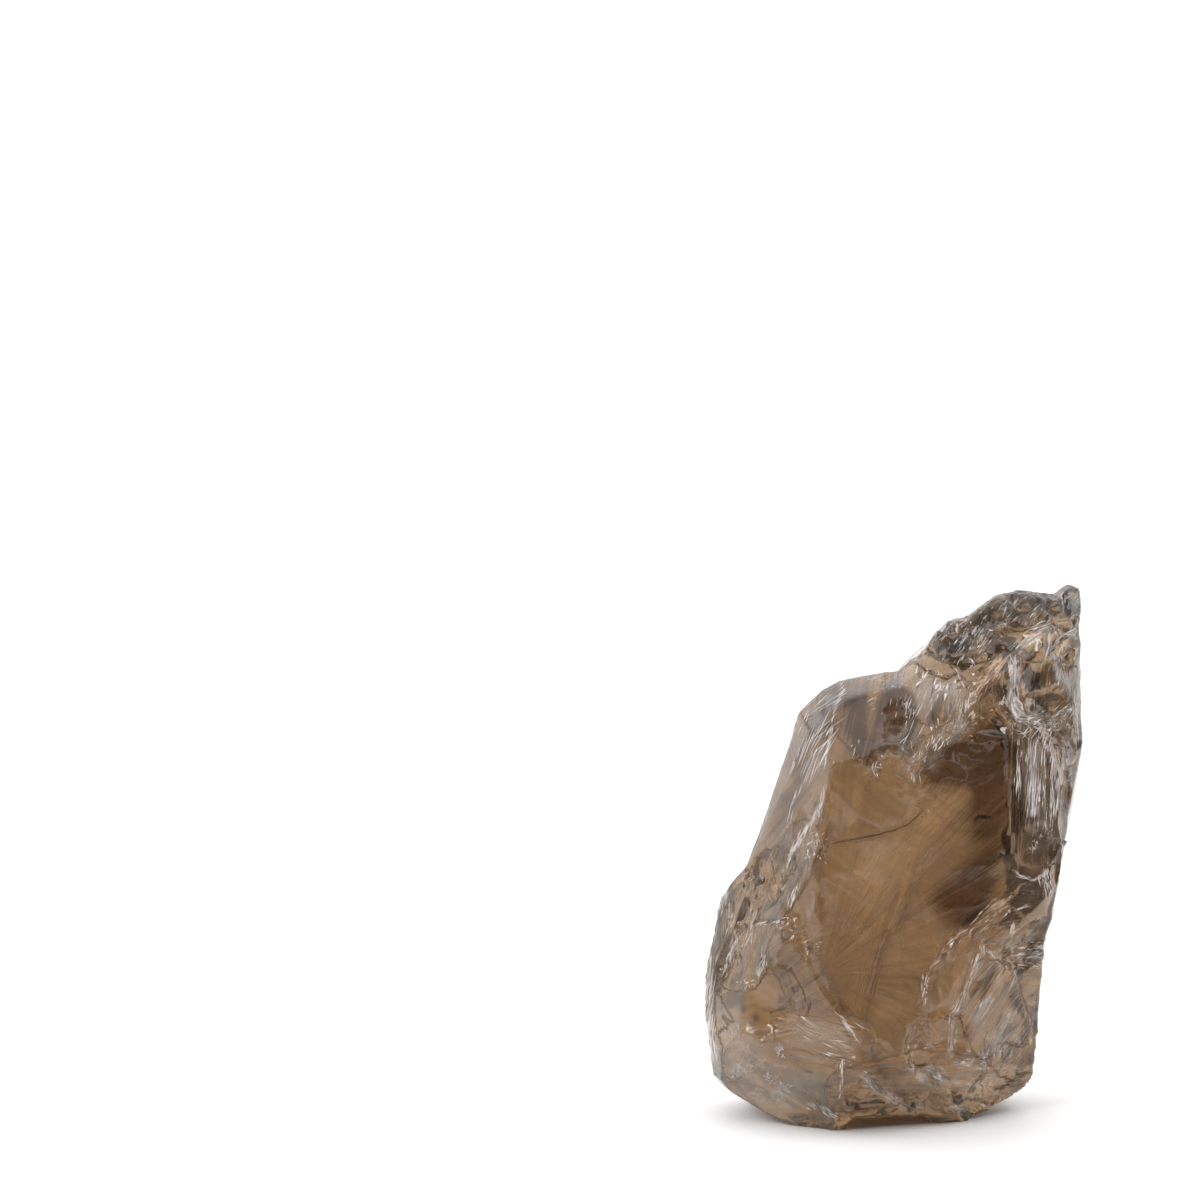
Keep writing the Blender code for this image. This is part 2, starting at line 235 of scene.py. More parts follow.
def path_gap(path):
    """Distance of each point to a front-view path, and 1 on the path's left side or -1 on its right."""
    flat = np.column_stack([x, z])
    gap = np.full(count, np.inf)
    side = np.ones(count)
    for start, end in zip(path, path[1:]):
        start, end = np.array(start, float), np.array(end, float)
        run = end - start
        away = flat - start
        share = np.clip((away @ run) / (run @ run), 0, 1)
        here = np.linalg.norm(away - share[:, None] * run, axis=1)
        turn = np.sign(run[0] * away[:, 1] - run[1] * away[:, 0])
        side = np.where(here < gap, turn, side)
        gap = np.minimum(gap, here)
    return gap, side


def along(path, width):
    """1 on a path of front-view points, down to 0 at width from it, on the front half only."""
    return (1 - smooth_step(width * 0.45, width, path_gap(path)[0])) * front


def ridge_distance():
    """How far each point lies from the nearest sharp ridge of the solid, in millimetres."""
    mesh = bmesh.new()
    mesh.from_mesh(ridge_source)
    spots = []
    for edge in mesh.edges:
        if len(edge.link_faces) == 2 and edge.calc_face_angle_signed(0) > RIDGE_ANGLE:
            start, end = (vertex.co / MM for vertex in edge.verts)
            steps = max(1, int((end - start).length / RIDGE_STEP))
            spots += [start.lerp(end, number / steps) for number in range(steps + 1)]
    mesh.free()
    tree = KDTree(len(spots))
    for number, spot in enumerate(spots):
        tree.insert(spot, number)
    tree.balance()
    return np.array([tree.find(point)[2] for point in place])


to_ridge = ridge_distance()
on_ridge = 1 - smooth_step(0.25, 1.1, to_ridge)
bevel = facing(-58, 10, 20) * smooth_step(26, 32, z)
rim = facing(-64, 0, 18) * (1 - smooth_step(24, 28, z)) * (1 - smooth_step(-19, -17.5, x))
print("share of the skin near a ridge:", round(float((on_ridge > 0.5).mean()), 3))

# %% [markdown]
# ## The grain of each face
# A crack leaves fine lines that run the way it went, and each face has its own way. So every point of the
# skin gets two lengths: how far it lies across the lines, and how far along them. Both the relief and the
# finish stretch their patterns over these lengths. Unlisted parts of the front follow lines that spread
# from one point at the lower left, and the back follows ripples round the blow that split it.

# %% Lines across the skin
def table(text):
    """Rows written as text: the points of a front-view path in millimetres, a bar, then its numbers."""
    rows = []
    for line in text.strip().splitlines():
        spots, _, numbers = line.partition("#")[0].partition("|")
        path = [tuple(float(part) for part in spot.split()) for spot in spots.split(",")]
        rows.append((path, *(part if part == "any" else float(part) for part in numbers.split())))
    return rows


# After the bar: the width, the angle of the lines in degrees, and how strong they are.
GRAIN = table("""
-5.3 50.4, -1.7 46.2 | 4.8 76 0.35  # top facet
2.5 52.8, 6.7 49.8 | 4.6 80 0.6  # pale facet
1.6 42.2, 4.3 44.4, 8.2 48 | 1.7 64 1  # hackle band
6.7 57, 10.9 60.6, 20.5 62.4 | 3.1 48 0.8  # crest
15.1 51.6, 19.9 51.6 | 4.3 84 0.6  # cup
16.9 45, 17.5 33.6 | 4.3 87 1  # band
13.3 23.4, 17.5 19.4 | 2.9 -4 0.3  # pocket
6.7 18, 4.9 10.2 | 2.9 79 0.3  # between the ridges
10.9 15.6, 13.9 7.2 | 4.8 56 0.95  # ribbed face
-10.7 34.2, -15.5 26.4, -18.5 18.6 | 4.1 68 0.8  # shoulder
-21.8 26.4, -22.3 14.4, -21.6 7.2 | 1.2 88 1  # rim
-12.5 20.4, -9.5 14.4 | 3.4 32 0.4  # left lobe
-11.9 10.8, -4.7 9.6 | 3.1 -20 0.6  # low fan
-18.5 8.4, -12.5 3 | 4.3 24 0.25  # corner
-5.3 3.6, 4.3 6, 15.1 4.2 | 3.4 8 0.8  # ledges
""")
FAN_CENTRE = (-8.7, 17.6)
FAN_TURN = 16.0
FAN_STRETCH = 0.35
BLOW = np.array([16.0, 14.0, 58.0])
BLOW_TURN = 20
BEVEL_STRETCH = np.array([[1.0], [0.4]])


def slanted(angle):
    """Distances across and along lines that rise at that angle in the front view."""
    angle = math.radians(angle)
    across = -x * math.sin(angle) + z * math.cos(angle)
    return np.array([across, x * math.cos(angle) + z * math.sin(angle)])


def fan(centre):
    """Distances across and along lines that spread from a front-view point."""
    away_x, away_z = x - centre[0], z - centre[1]
    reach = np.hypot(away_x, away_z)
    return np.arctan2(away_z, away_x) * FAN_TURN, reach * FAN_STRETCH


blow = np.linalg.norm(place - BLOW, axis=1)
round_blow = BLOW_TURN * np.arctan2(place[:, 0] - BLOW[0], BLOW[2] - place[:, 2])
behind = looks[:, 1] > 0.1
grain_across, grain_along = fan(FAN_CENTRE)
grain_across = np.where(behind, blow, grain_across)
grain_along = np.where(behind, round_blow, grain_along)
zone = np.where(behind, 5.0, 0.0)
streaky = np.where(behind, 0.45, 0.12)
ragged = 0.25 * waves(place, 1.6, 70)
strongest = np.full(count, 0.3)


def take_zone(mask, across_along, strength, number):
    """Points where the mask is the strongest so far take that zone's lines."""
    global grain_across, grain_along, streaky, zone, strongest
    here = mask * (1 + ragged) > strongest
    grain_across = np.where(here, across_along[0], grain_across)
    grain_along = np.where(here, across_along[1], grain_along)
    streaky = np.where(here, strength, streaky)
    zone = np.where(here, number, zone)
    strongest = np.maximum(strongest, mask * (1 + ragged))


for number, (path, width, angle, strength) in enumerate(GRAIN):
    take_zone(along(path, width), slanted(angle), strength, number + 10.0)
take_zone(bevel, slanted(50) * BEVEL_STRETCH, 0.35, 1.0)
take_zone(rim, slanted(88), 1.0, 2.0)
grain = np.column_stack([grain_across, grain_along, zone * 7.3])
print("zones with their own lines:", len(np.unique(zone)))

# %% [markdown]
# ## Crumbled places
# Ridges and ledges are crumbled where the crack broke up. They get broken steps, stretched along the
# grain, and tiny facets of three sizes. Ridges elsewhere are nibbled here and there, where slow noise allows
# it, because no real edge is chipped evenly.

# %% Crumbled zones
# After the bar: the width.
CRUMBLED = table("""
5 57.5, 8.5 58.5, 12 60.6, 20 61.2 | 3.4
13.6 56.5, 14.2 52, 15.2 47.5 | 1.3
15.4 47, 21.8 46.2 | 2.2
16.6 35, 19.5 33.5 | 1.4
8.2 47.4, 4.6 44.6, 1.6 42 | 1.5
-2.6 42, -1.8 44.5 | 1
-9.2 37.4, -11 33.5, -13.4 28.5 | 1.8
-17 29.5, -16 25, -18.6 19 | 1.4
18 29, 12.8 24.6, 5.6 18.6, 3.8 13.2, 3.6 7 | 1.3
11.4 20.8, 14 18.6, 17.4 19.4 | 1.5
11 21, 9.2 16.2, 7 7.6 | 1
-2.4 8.4, 3.6 7.4, 9 7.2, 13 7.8 | 1.6
-6.4 1.2, -5.6 8 | 1.3
-3 3.2, 5 2.2, 11 2.6 | 1.8
""")
FACET_SIZES = [  # size, tilt, step and seed
    (2.7, 0.30, 0.16, 28),
    (1.4, 0.20, 0.05, 21),
    (0.8, 0.10, 0.02, 33),
]
crumbled = np.zeros(count)
for path, width in CRUMBLED:
    crumbled = np.maximum(crumbled, along(path, width))
patchy = smooth_step(-0.35, 0.25, waves(place, 2.6, 3))
crumbled *= 0.35 + 0.65 * patchy
nibbled = on_ridge * smooth_step(0.0, 0.5, waves(place, 4.0, 9)) * (1 - 0.75 * back)
stretched = grain * np.array([1.0, 0.35, 1.0])

height = np.zeros(count)
for number, (size, tilt, step, seed) in enumerate(FACET_SIZES):
    broken = crumbled * smooth_step(0.25, 0.6, -looks[:, 1]) if number == 0 else crumbled
    height += broken * facets(place, size, tilt, step, seed)
height += crumbled * broken_steps(stretched, 2.2, 0.10, 25)
height -= nibbled * (0.08 + 0.16 * np.abs(facets(place, 1.0, 0.5, 0.2, 45)))
print("crumbled share:", round(float((crumbled > 0.5).mean()), 3))

# %% [markdown]
# ## Single steps
# The edges of the larger flakes are single steps. Each is a front-view path: the skin on its left side
# stands up by the drop, right at the path, and comes back down over the fade. That keeps a crisp edge on
# one side and no trace on the other.

# %% Steps at the edges of flakes
# After the bar: the drop and the fade.
STEPS = table("""
0.2 52.6, -1 50.4, -1.7 46.8, -2 43.6 | 0.25 2.5  # top facet
-6.7 41.4, -5.3 42.5, -4.6 43.6, -4.2 44.8, -3.8 46.4 | 0.1 2
0.7 54, 1.7 54.7, 2.8 54.7, 4 53.8, 4.9 53.4, 6.4 52.9, 7.7 53.6 | 0.35 2.2  # pale facet
4.9 53.2, 4.7 51.2 | 0.18 1.4
8.6 49, 8.8 51.6, 7.7 54.1 | 0.35 2
1.6 42.2, 3.7 44.2, 6.1 46.1, 7.9 47.9 | 0.3 2.6
12 41.3, 9.4 40.1, 6.7 40.1, 4.6 40.7, 3 41.8 | 0.16 2.6  # bowl
-7.6 33.1, -5.2 33.6, -2 34.2, 0.1 34.8, 1.8 35.5, 3.7 37.3 | 0.14 1.4  # window
-4.3 9.6, -6.5 13.2, -9.1 17, -10.7 20.5 | 0.35 4.5
-4.1 8.4, -3.4 14.4, -1.7 20.4, 1.3 27.6 | 0.35 4
15 28.9, 13.6 26.6, 11.9 25.4, 9.8 23.5, 7.8 22.1, 5.8 19.7, 4.3 17.8, 3.6 15.8, 3.6 13.7 | 0.25 2  # ridges
6.7 7.7, 7 10.6, 7.2 12.6, 8.4 14.6, 9.2 16.7, 9.8 19.4, 11 21.2 | 0.4 2.2
17.8 18.6, 13.8 18.7, 11.5 20.3 | 0.4 1.6
17.8 20.8, 13.9 20.9 | 0.3 1.2
16.1 25.8, 14.4 25, 12.7 23.4 | 0.25 1.5
10.9 7.4, 7.3 9.1, 3.8 8.9 | 0.45 1.6  # bottom
11.5 6.2, 7.3 7 | 0.3 1.2
1.3 1.7, -1.7 3.6, -4.1 5.8 | 0.45 2
16.3 6, 12.7 3.8, 6.7 4.8, 3.7 6.7 | 0.35 2
-6.5 2.8, -6.2 6.8 | 0.45 2.2
-6.7 6.7, -11.3 6.5 | 0.25 2
3.7 1.2, 8.5 1, 12.7 2.4 | 0.3 1.4
-13.1 29.9, -12.4 31.7, -11.2 33.4, -10.2 35.5 | 0.4 1.5  # shoulder
-13.1 23.9, -16.4 23.6 | 0.35 1.6
-20.3 17.5, -19.6 19.9, -18.8 21.5 | 0.35 1.2
-17.9 20.4, -17.4 21.2, -16.7 25.1 | 0.3 1.2
-16.4 17.3, -15.5 18.5, -15.7 19.9 | 0.3 1
-12.6 25.3, -11.5 28.2 | 0.3 1.2
15.2 48.5, 14.2 49.9, 14.6 55.1 | 0.5 1.6  # cup
22 58.9, 20.2 58, 18.7 56.4, 18 54.7 | 0.3 1.6
21.6 49.9, 18.5 47.8, 15 48.5 | 0.35 1.6
22.3 61.6, 16.3 61.6, 11.5 61 | 0.3 1.6  # crest
10.9 56.6, 9.4 55.8, 7.3 55.8, 6.2 58.6 | 0.3 1.8
13.9 63.4, 10.9 61.7, 8.5 60, 6.5 58.8 | 0.25 2
""")


def step_relief(path, drop, fade):
    """The height that one broken step adds, with ends that run out."""
    gap, side = path_gap(path)
    wobble = 0.12 * waves(place, 1.1, 81)
    signed = gap * side + wobble
    edge = smooth_step(-0.16, 0.16, signed)
    ends = np.ones(count)
    for tip in (path[0], path[-1]):
        ends *= smooth_step(0.0, 1.6, np.hypot(x - tip[0], z - tip[1]))
    return drop * edge * np.exp(-gap / fade) * (0.25 + 0.75 * ends) * front


stepped = np.zeros(count)
for path, drop, fade in STEPS:
    stepped += step_relief(path, drop, fade)
height += stepped
print("steps:", len(STEPS), "highest in mm:", round(float(stepped.max()), 2))

# %% [markdown]
# ## Ribs, ripples and soft waves
# Ribs follow the grain and are strongest on the bevel, the band and the ribbed face. Rings of ripples stand
# round the small cups. The large faces get soft waves of less than a tenth of a millimetre, which is enough
# to bend what is seen through them.

# %% Ribs and ripples
RINGS = [  # centre, radius and depth of small scooped rings
    ((20.9, 55.7), 1.15, 0.22),
    ((16.7, 30.8), 2.1, 0.40),
    ((0.5, 48.0), 2.6, 0.30),
    ((10.0, 44.6), 4.6, 0.35),
]
RIPPLE_LENGTH = 3.1


def ring_relief(centre, radius, depth):
    """A shallow scoop with a crisp rim, and two ripples inside it."""
    reach = np.hypot(x - centre[0], z - centre[1]) / radius
    reach = reach + 0.10 * waves(place, 1.8, 90)
    bowl = -depth * np.clip(1 - reach**2, 0, 1)
    ripple = 0.10 * depth * np.sin(reach * 15) * (1 - smooth_step(0.9, 1.1, reach))
    return (bowl + ripple) * front


for centre, radius, depth in RINGS:
    height += ring_relief(centre, radius, depth)

coarse_lines = waves(grain / np.array([1.5, 11.0, 1.0]), 1.0, 51)
fine_lines = waves(grain / np.array([0.75, 6.0, 1.0]), 1.0, 52)
crests = 1 - np.abs(coarse_lines)
height += streaky * (0.14 * crests**2 + 0.05 * fine_lines)
clear_face = 1 - np.maximum(crumbled, on_ridge)
height += clear_face * 0.10 * waves(place, 8.0, 15)
height += clear_face * 0.04 * waves(place, 3.2, 16)
ripples = np.sin(blow * (2 * math.pi / RIPPLE_LENGTH) + 1.4 * waves(place, 7, 12))
height += back * 0.07 * ripples * smooth_step(-0.3, 0.5, waves(place, 9, 14))
height += back * broken_steps(stretched, 6.0, 0.10, 61) * smooth_step(0.0, 0.5, waves(place, 11, 62))
print("relief in mm:", round(float(height.min()), 2), "to", round(float(height.max()), 2))

# %% [markdown]
# ## Keeping the foot flat
# The stone stands on its foot, so the relief fades out there. Heights only move points along their
# normals, so the skin stays closed. One sharp hollow at the left is worn smooth, because glass that turns
# so sharply would look like a black hole there.

# %% Write the skin back
FOOT_FADE = (0.35, 0.9)
HOLLOW = [(-16.4, 15.2), (-17.0, 12.6)]
HOLLOW_WIDTH = 2.6
PASSES = 60

standing = smooth_step(*FOOT_FADE, place[:, 2])
moved = place + looks * (height * standing)[:, None]
moved[:, 2] = np.maximum(moved[:, 2], 0.0)
stone.data.vertices.foreach_set("co", (moved * MM).ravel())
worn = bmesh.new()
worn.from_mesh(stone.data)
softened = [vertex for vertex, near in zip(worn.verts, along(HOLLOW, HOLLOW_WIDTH) > 0.3) if near]
for _ in range(PASSES):
    bmesh.ops.smooth_vert(worn, verts=softened, factor=0.5, use_axis_x=True, use_axis_y=True, use_axis_z=True)
worn.to_mesh(stone.data)
worn.free()
stone.data.update()
for polygon in stone.data.polygons:
    polygon.use_smooth = True
print("highest point in mm:", round(float(moved[:, 2].max()), 2))

# %% [markdown]
# ## Masks for the finish
# Quartz isn't evenly clear, and the masks here also paint light and shade into the colour. One mask holds
# the smoke's own uneven tone together with painted shade and painted light: darker in fold shadows, hollows
# and pockets, lighter in bands, wedges and streaks of light that show through the stone. The other turns the
# colour grey, partly for fine cracks just under the skin and partly as a painted sheen on faces that mirror
# the lights. Those parts are again front-view paths. Together with the dull places they are stored on the
# mesh as plain numbers for each point, which a material can read.

# %% Smoke with painted shade and light, haze with painted sheen
# After the bar: the width, and how much darker (lighter where negative) or greyer the colour is painted
# there.
# Positive rows mostly paint shade seen through the stone, as in the fold shadows, the dark scallop, the
# hollows of the bowl, cup, valley and pockets, and the thin top facet, which is darkened against the light
# that passes through it. Negative rows mostly paint light, as in the light middle and the bands, wedge and
# streaks of light.
SHADE_AND_SMOKE_PATHS = table("""
12 40.8, 11.5 32.4, 8.5 26.4 | 6.5 0.66  # right of the window
5.8 42.7, 9.7 43.2, 12.2 45 | 4.3 1.1  # bowl above the arc
13.3 57.6, 10.1 48.6 | 1.9 0.25  # groove
0.4 49.7, 0.6 46.1 | 3.6 1.4  # dark scallop
14.6 54.7, 14.4 49.9, 15.1 48.5 | 1.2 -0.25  # cup wall
15.1 47.8, 20.9 48 | 1.7 -0.12  # belt
-7.4 19, -4.4 11 | 2.4 0.16  # triangle between the folds
0.7 27, -2.6 16.2, -4 8.6 | 1.3 0.25  # right fold
-1.7 31, -3.1 28.2 | 5 -0.34  # light middle
-5.5 51, -3.4 45 | 4.3 0.66  # top facet
8.2 38.6, 1.3 31.7 | 1.9 -0.22  # light fibres
-13.1 19.2, -9.5 13.2 | 3.6 0.36  # left lobe
-11.9 4.6, -7.1 2.9 | 2.9 0.42  # lobe, low
-11.3 11.3, -5 9.6 | 2.9 -0.6  # low fan
7 18.6, 4.6 9.6 | 2.4 -0.2  # between the ridges
-3.1 8.6, -0.7 4.8, 1.7 2.2 | 1.4 0.4  # valley at the notch
7.9 8.2, 10.3 7.9 | 1.3 0.4  # ledge pocket
4.1 6.7, 6.2 7.2 | 1.1 0.25  # ledge hollow
16.3 31.2, 16.8 30.5 | 2.2 -0.42  # eye
8.2 21.8, 10.8 23.9, 13.2 25.9 | 1.1 -0.45  # peach ridge
17 52.6, 17.5 49 | 1.6 0.42  # cup hollow
7.3 56.4, 10.9 60, 19.9 61.9 | 3.4 0.5  # crest
20.2 63, 21.8 61.7 | 1.9 0.8  # lump
-7.9 50.4, -11.3 42.6 | 3.4 0.56  # bevel, top
11.5 15.6, 14.2 8.4 | 3.6 0.34  # ribs
11.9 18.8, 10.2 14, 8.4 10 | 0.8 0.5  # gap in the ribs
11.4 14.6, 9.8 12.2 | 1 -0.3  # feather
14.2 12.7, 12.2 9.8, 13.2 6.7 | 1.4 -0.35  # feather, low
-12.5 38.4, -14.3 32.4 | 3.4 0.5  # bevel, low
-12.5 30.6, -15.5 25.8 | 3.4 0.38  # shoulder
17.5 15.6, 17 7.2 | 1.4 0.22  # right edge band
-9.8 20.6, -6 13.4 | 1.1 0.28  # fold shadow
-5.8 27.8, -0.6 32.5, 4.2 37 | 1.9 -0.16  # band of light
1.8 29.6, 1.1 27.6, -0.2 23.2 | 0.8 -0.34  # wedge of light
2.5 27.8, 0.8 22.6 | 1.3 0.24  # behind the wedge
-4.7 22.7, -1.8 27.6 | 0.6 -0.22  # light streak
-5.3 20.3, -2.9 22.7 | 0.5 -0.2  # light streak, low
-7.3 21.6, -1.9 19.7 | 1.4 0.14  # dark patch
-1 13, 1.7 14.6 | 1.8 -0.16  # light foot of the face
-8.6 31, -8.2 24.6 | 1.6 0.12  # left margin
""")
# Partly haze under the skin and partly painted sheen: the pale facet, cup wall, belt, columns and right strip
# are painted grey where the lights are mirrored in them.
HAZE_AND_SHEEN_PATHS = table("""
-5.3 50.4, -1.7 46.2 | 4.1 0.12  # top facet
3.4 51.4, 6.7 51 | 4.1 0.95  # pale facet
2.5 55.2, 6.7 56.4 | 2.2 0.6  # above the pale facet
1.6 42.5, 4.3 44.6, 7.9 47.9 | 1.6 0.8  # hackle band
7.3 56.4, 10.9 60, 20.5 62.4 | 2.6 0.5  # crest
14.6 55, 14.4 49.9, 15.4 48.5 | 1.2 1.2  # cup wall
14.9 56.4, 18.2 58.8 | 1.9 0.7  # cup, upper left
19.3 56.4, 19.3 50.4 | 3.1 0.35  # cup
15.1 47.8, 21.1 48.5 | 2.2 0.8  # belt
16.8 44.4, 16.8 37 | 1.2 1  # column facet
16.3 45, 18.7 34.8 | 3.6 0.5  # columns
22.4 55.2, 22 48, 21.6 45 | 1.1 1  # right strip
-19.9 12, -17.5 4.2, -13.1 2.6 | 4.8 1  # corner
-11.3 33.6, -14.9 26.4, -17.9 19.2 | 3.6 0.4  # shoulder
10.9 13.2, 14.5 8.4 | 4.6 0.32  # ribbed face
9.8 12.2, 11.4 14.6 | 1.3 0.75  # rib feather
13.9 12.5, 12.2 9.8, 13.4 6.5 | 1.8 0.75  # rib feather, low
10.8 21, 9.2 16.7, 7.2 12.6, 6.8 7.9 | 1 0.7  # rib ridge
13.3 22.8, 17.5 19.8 | 2.6 0.4  # pocket
-4.1 4.2, 4.3 5.4, 12.7 4.2, 16.3 5.4 | 2.9 0.5  # ledges
-3.8 5.4, -1.7 3.6, 1.2 1.8 | 1.2 0.9  # wedge
3.8 6.2, 6.1 4.6 | 1.3 0.8  # ledge top
7.4 6.7, 11 6.4 | 0.8 0.8  # ledge under the pocket
-11.3 10.8, -4.6 9.4 | 2.6 0.5  # left lobe fibres
""")


def store(mesh, name, values):
    """Saves one number or one vector for each point of the mesh, where a material can read it."""
    kind, field = ("FLOAT", "value") if values.ndim == 1 else ("FLOAT_VECTOR", "vector")
    attribute = mesh.attributes.new(name, kind, "POINT")
    attribute.data.foreach_set(field, values.astype(np.float32).ravel())


def soft_along(path, width):
    """As along, but it fades slowly from the middle outwards."""
    gap = path_gap(path)[0] + 0.12 * width * waves(place, 2.4, 71)
    return (1 - smooth_step(0.0, width, gap)) * front


# The smoke's own uneven tone, with the painted shade and painted light of the paths added on top.
smoke_and_shade = 0.38 + 0.10 * waves(place, 9.0, 73)
for path, width, amount in SHADE_AND_SMOKE_PATHS:
    smoke_and_shade += amount * soft_along(path, width)
# The bevel and the rim get a painted grey sheen from the lights they face, and the back a little haze.
haze_and_sheen = 0.08 + 0.24 * bevel + 0.2 * rim + 0.12 * back
for path, width, amount in HAZE_AND_SHEEN_PATHS:
    haze_and_sheen = np.maximum(haze_and_sheen, amount * soft_along(path, width))
haze_and_sheen *= 1 - 0.9 * smooth_step(0.6, 1.0, smoke_and_shade)
bruised = np.clip(0.7 * crumbled + 0.7 * nibbled, 0, 1)
frosted = facing(-30, -24, 26) * (1 - smooth_step(9, 14, z)) * (1 - smooth_step(-9, -4, x))
smoke_and_shade += frosted * (0.06 + 0.45 * waves(place, 2.3, 74))
store(stone.data, "smoke_and_shade", np.clip(smoke_and_shade, 0, 1.5))
store(stone.data, "haze_and_sheen", np.clip(haze_and_sheen, 0, 1))
store(stone.data, "bruised", bruised)
store(stone.data, "frosted", np.clip(frosted + 0.8 * rim, 0, 1))
store(stone.data, "streaky", streaky)
store(stone.data, "grain", grain)
print("bruised share:", round(float(bruised.mean()), 3), "hazy share:", round(float(haze_and_sheen.mean()), 3))

# %% [markdown]
# ## The finish of a fracture
# A fresh fracture is nearly as smooth as polished glass. It turns dull where it is bruised, hazy or etched,
# and its fine lines follow the grain. The stone and the splinters both use this finish, so it is a node
# group. It puts out a roughness, a height for the bump, a mask of pale dust, and the fine lines themselves.


# %% The fracture finish group
CHIPS_PER_METRE = 620.0


def feed(tree, node, inputs):
    """Gives inputs their values by name or number: each is a value or another node's socket."""
    for name, value in inputs.items():
        if isinstance(value, bpy.types.NodeSocket):
            tree.links.new(value, node.inputs[name])
        else:
            node.inputs[name].default_value = value


def add_node(tree, kind, inputs=None, **settings):
    """A new node of that kind, with its settings and its inputs."""
    node = tree.nodes.new(kind)
    for name, value in settings.items():
        setattr(node, name, value)
    feed(tree, node, inputs or {})
    return node


def open_group(title, kind, inputs, outputs):
    """A new node group with sockets of those names and kinds, what it is given, and its result."""
    group = bpy.data.node_groups.new(title, kind)
    for side, sockets in (("INPUT", inputs), ("OUTPUT", outputs)):
        for name, socket_kind in sockets.items():
            group.interface.new_socket(name, in_out=side, socket_type="NodeSocket" + socket_kind)
    return group, group.nodes.new("NodeGroupInput").outputs, group.nodes.new("NodeGroupOutput")


def noise_node(tree, vector, scale, detail, distortion=0.0):
    """A noise texture on a vector output."""
    inputs = {"Vector": vector, "Scale": scale, "Detail": detail, "Distortion": distortion}
    return add_node(tree, "ShaderNodeTexNoise", inputs).outputs["Fac"]


def math_node(tree, operation, first, second, clamp=False):
    """A Math node on two sockets or numbers."""
    node = add_node(tree, "ShaderNodeMath", {0: first, 1: second}, operation=operation, use_clamp=clamp)
    return node.outputs[0]


def vector_node(tree, operation, first, second):
    """A Vector Math node on two sockets or vectors."""
    node = add_node(tree, "ShaderNodeVectorMath", {0: first, 1: second}, operation=operation)
    return node.outputs["Value" if operation == "DOT_PRODUCT" else "Vector"]


def chip_heights(tree, where):
    """Heights of flat chips a little under two millimetres wide, each tilted its own way."""
    cells = add_node(tree, "ShaderNodeTexVoronoi", {"Vector": where, "Scale": CHIPS_PER_METRE}).outputs
    away = vector_node(tree, "SUBTRACT", where, cells["Position"])
    away = vector_node(tree, "MULTIPLY", away, (CHIPS_PER_METRE,) * 3)
    lean = vector_node(tree, "SUBTRACT", cells["Color"], (0.5, 0.5, 0.5))
    return vector_node(tree, "DOT_PRODUCT", away, lean)


def fracture_finish():
    """Builds the group. Places and masks go in, and roughness, height, dust and lines come out."""
    masks = ("Bruised", "Frosted", "Haze_And_Sheen", "Streaky", "Clear Roughness", "Dull Roughness")
    inputs = {"Coordinates": "Vector", "Grain": "Vector", **dict.fromkeys(masks, "Float")}
    outputs = dict.fromkeys(("Roughness", "Height", "Dust", "Lines"), "Float")
    tree, given, result = open_group("fracture_finish", "ShaderNodeTree", inputs, outputs)
    noise = partial(noise_node, tree)
    times = partial(math_node, tree, "MULTIPLY")
    plus = partial(math_node, tree, "ADD")
    larger = partial(math_node, tree, "MAXIMUM")
    where = given["Coordinates"]
    fine = noise(where, 1900, 3)
    mottle = noise(where, 700, 4, 0.6)
    smudge = noise(where, 140, 3, 0.3)
    broad = noise(vector_node(tree, "MULTIPLY", given["Grain"], (1.0, 0.08, 1.0)), 0.9, 4, 0.2)
    thin = noise(vector_node(tree, "MULTIPLY", given["Grain"], (1.0, 0.05, 1.0)), 4.5, 3, 0.1)
    lines = plus(times(broad, 0.65), times(thin, 0.35))
    uneven = times(given["Bruised"], mottle)
    etched = times(given["Frosted"], times(times(smudge, smudge), 2.2))
    clouded = times(given["Haze_And_Sheen"], times(lines, 0.9))
    dull = math_node(tree, "MINIMUM", larger(larger(uneven, etched), clouded), 1.0)
    span = math_node(tree, "SUBTRACT", given["Dull Roughness"], given["Clear Roughness"])
    rough = plus(given["Clear Roughness"], times(span, dull))
    touch = times(math_node(tree, "POWER", smudge, 3.0), 0.12)
    soft = times(smudge, 0.25)
    crumbs = times(fine, times(dull, 0.25))
    lined = times(given["Streaky"], times(lines, 4.0))
    chipped = times(times(plus(given["Bruised"], 0.04), chip_heights(tree, where)), 7.0)
    height = plus(plus(soft, crumbs), plus(lined, chipped))
    dust = times(larger(times(uneven, 0.55), etched), mottle)
    feed(tree, result, {"Roughness": plus(rough, touch), "Height": height, "Dust": dust, "Lines": lines})
    return tree


FINISH = fracture_finish()
print("finish group sockets:", len(FINISH.interface.items_tree))

# %% [markdown]
# ## Smoky quartz
# The brown of smoky quartz comes from light that is lost on the way through. So the body is see-through
# at the index of quartz, and a Volume Absorption node darkens thick places more than thin ones. A natural
# stone is full of fine flaws that send some light back, so a small share of its light doesn't pass. The
# colour at the skin goes from light brown to deep brown with the stored mask of smoke, painted shade and
# painted light, and with the lines of the grain. It turns grey with the mask of haze and painted sheen, and
# pale where dust sits in the crumbled places.

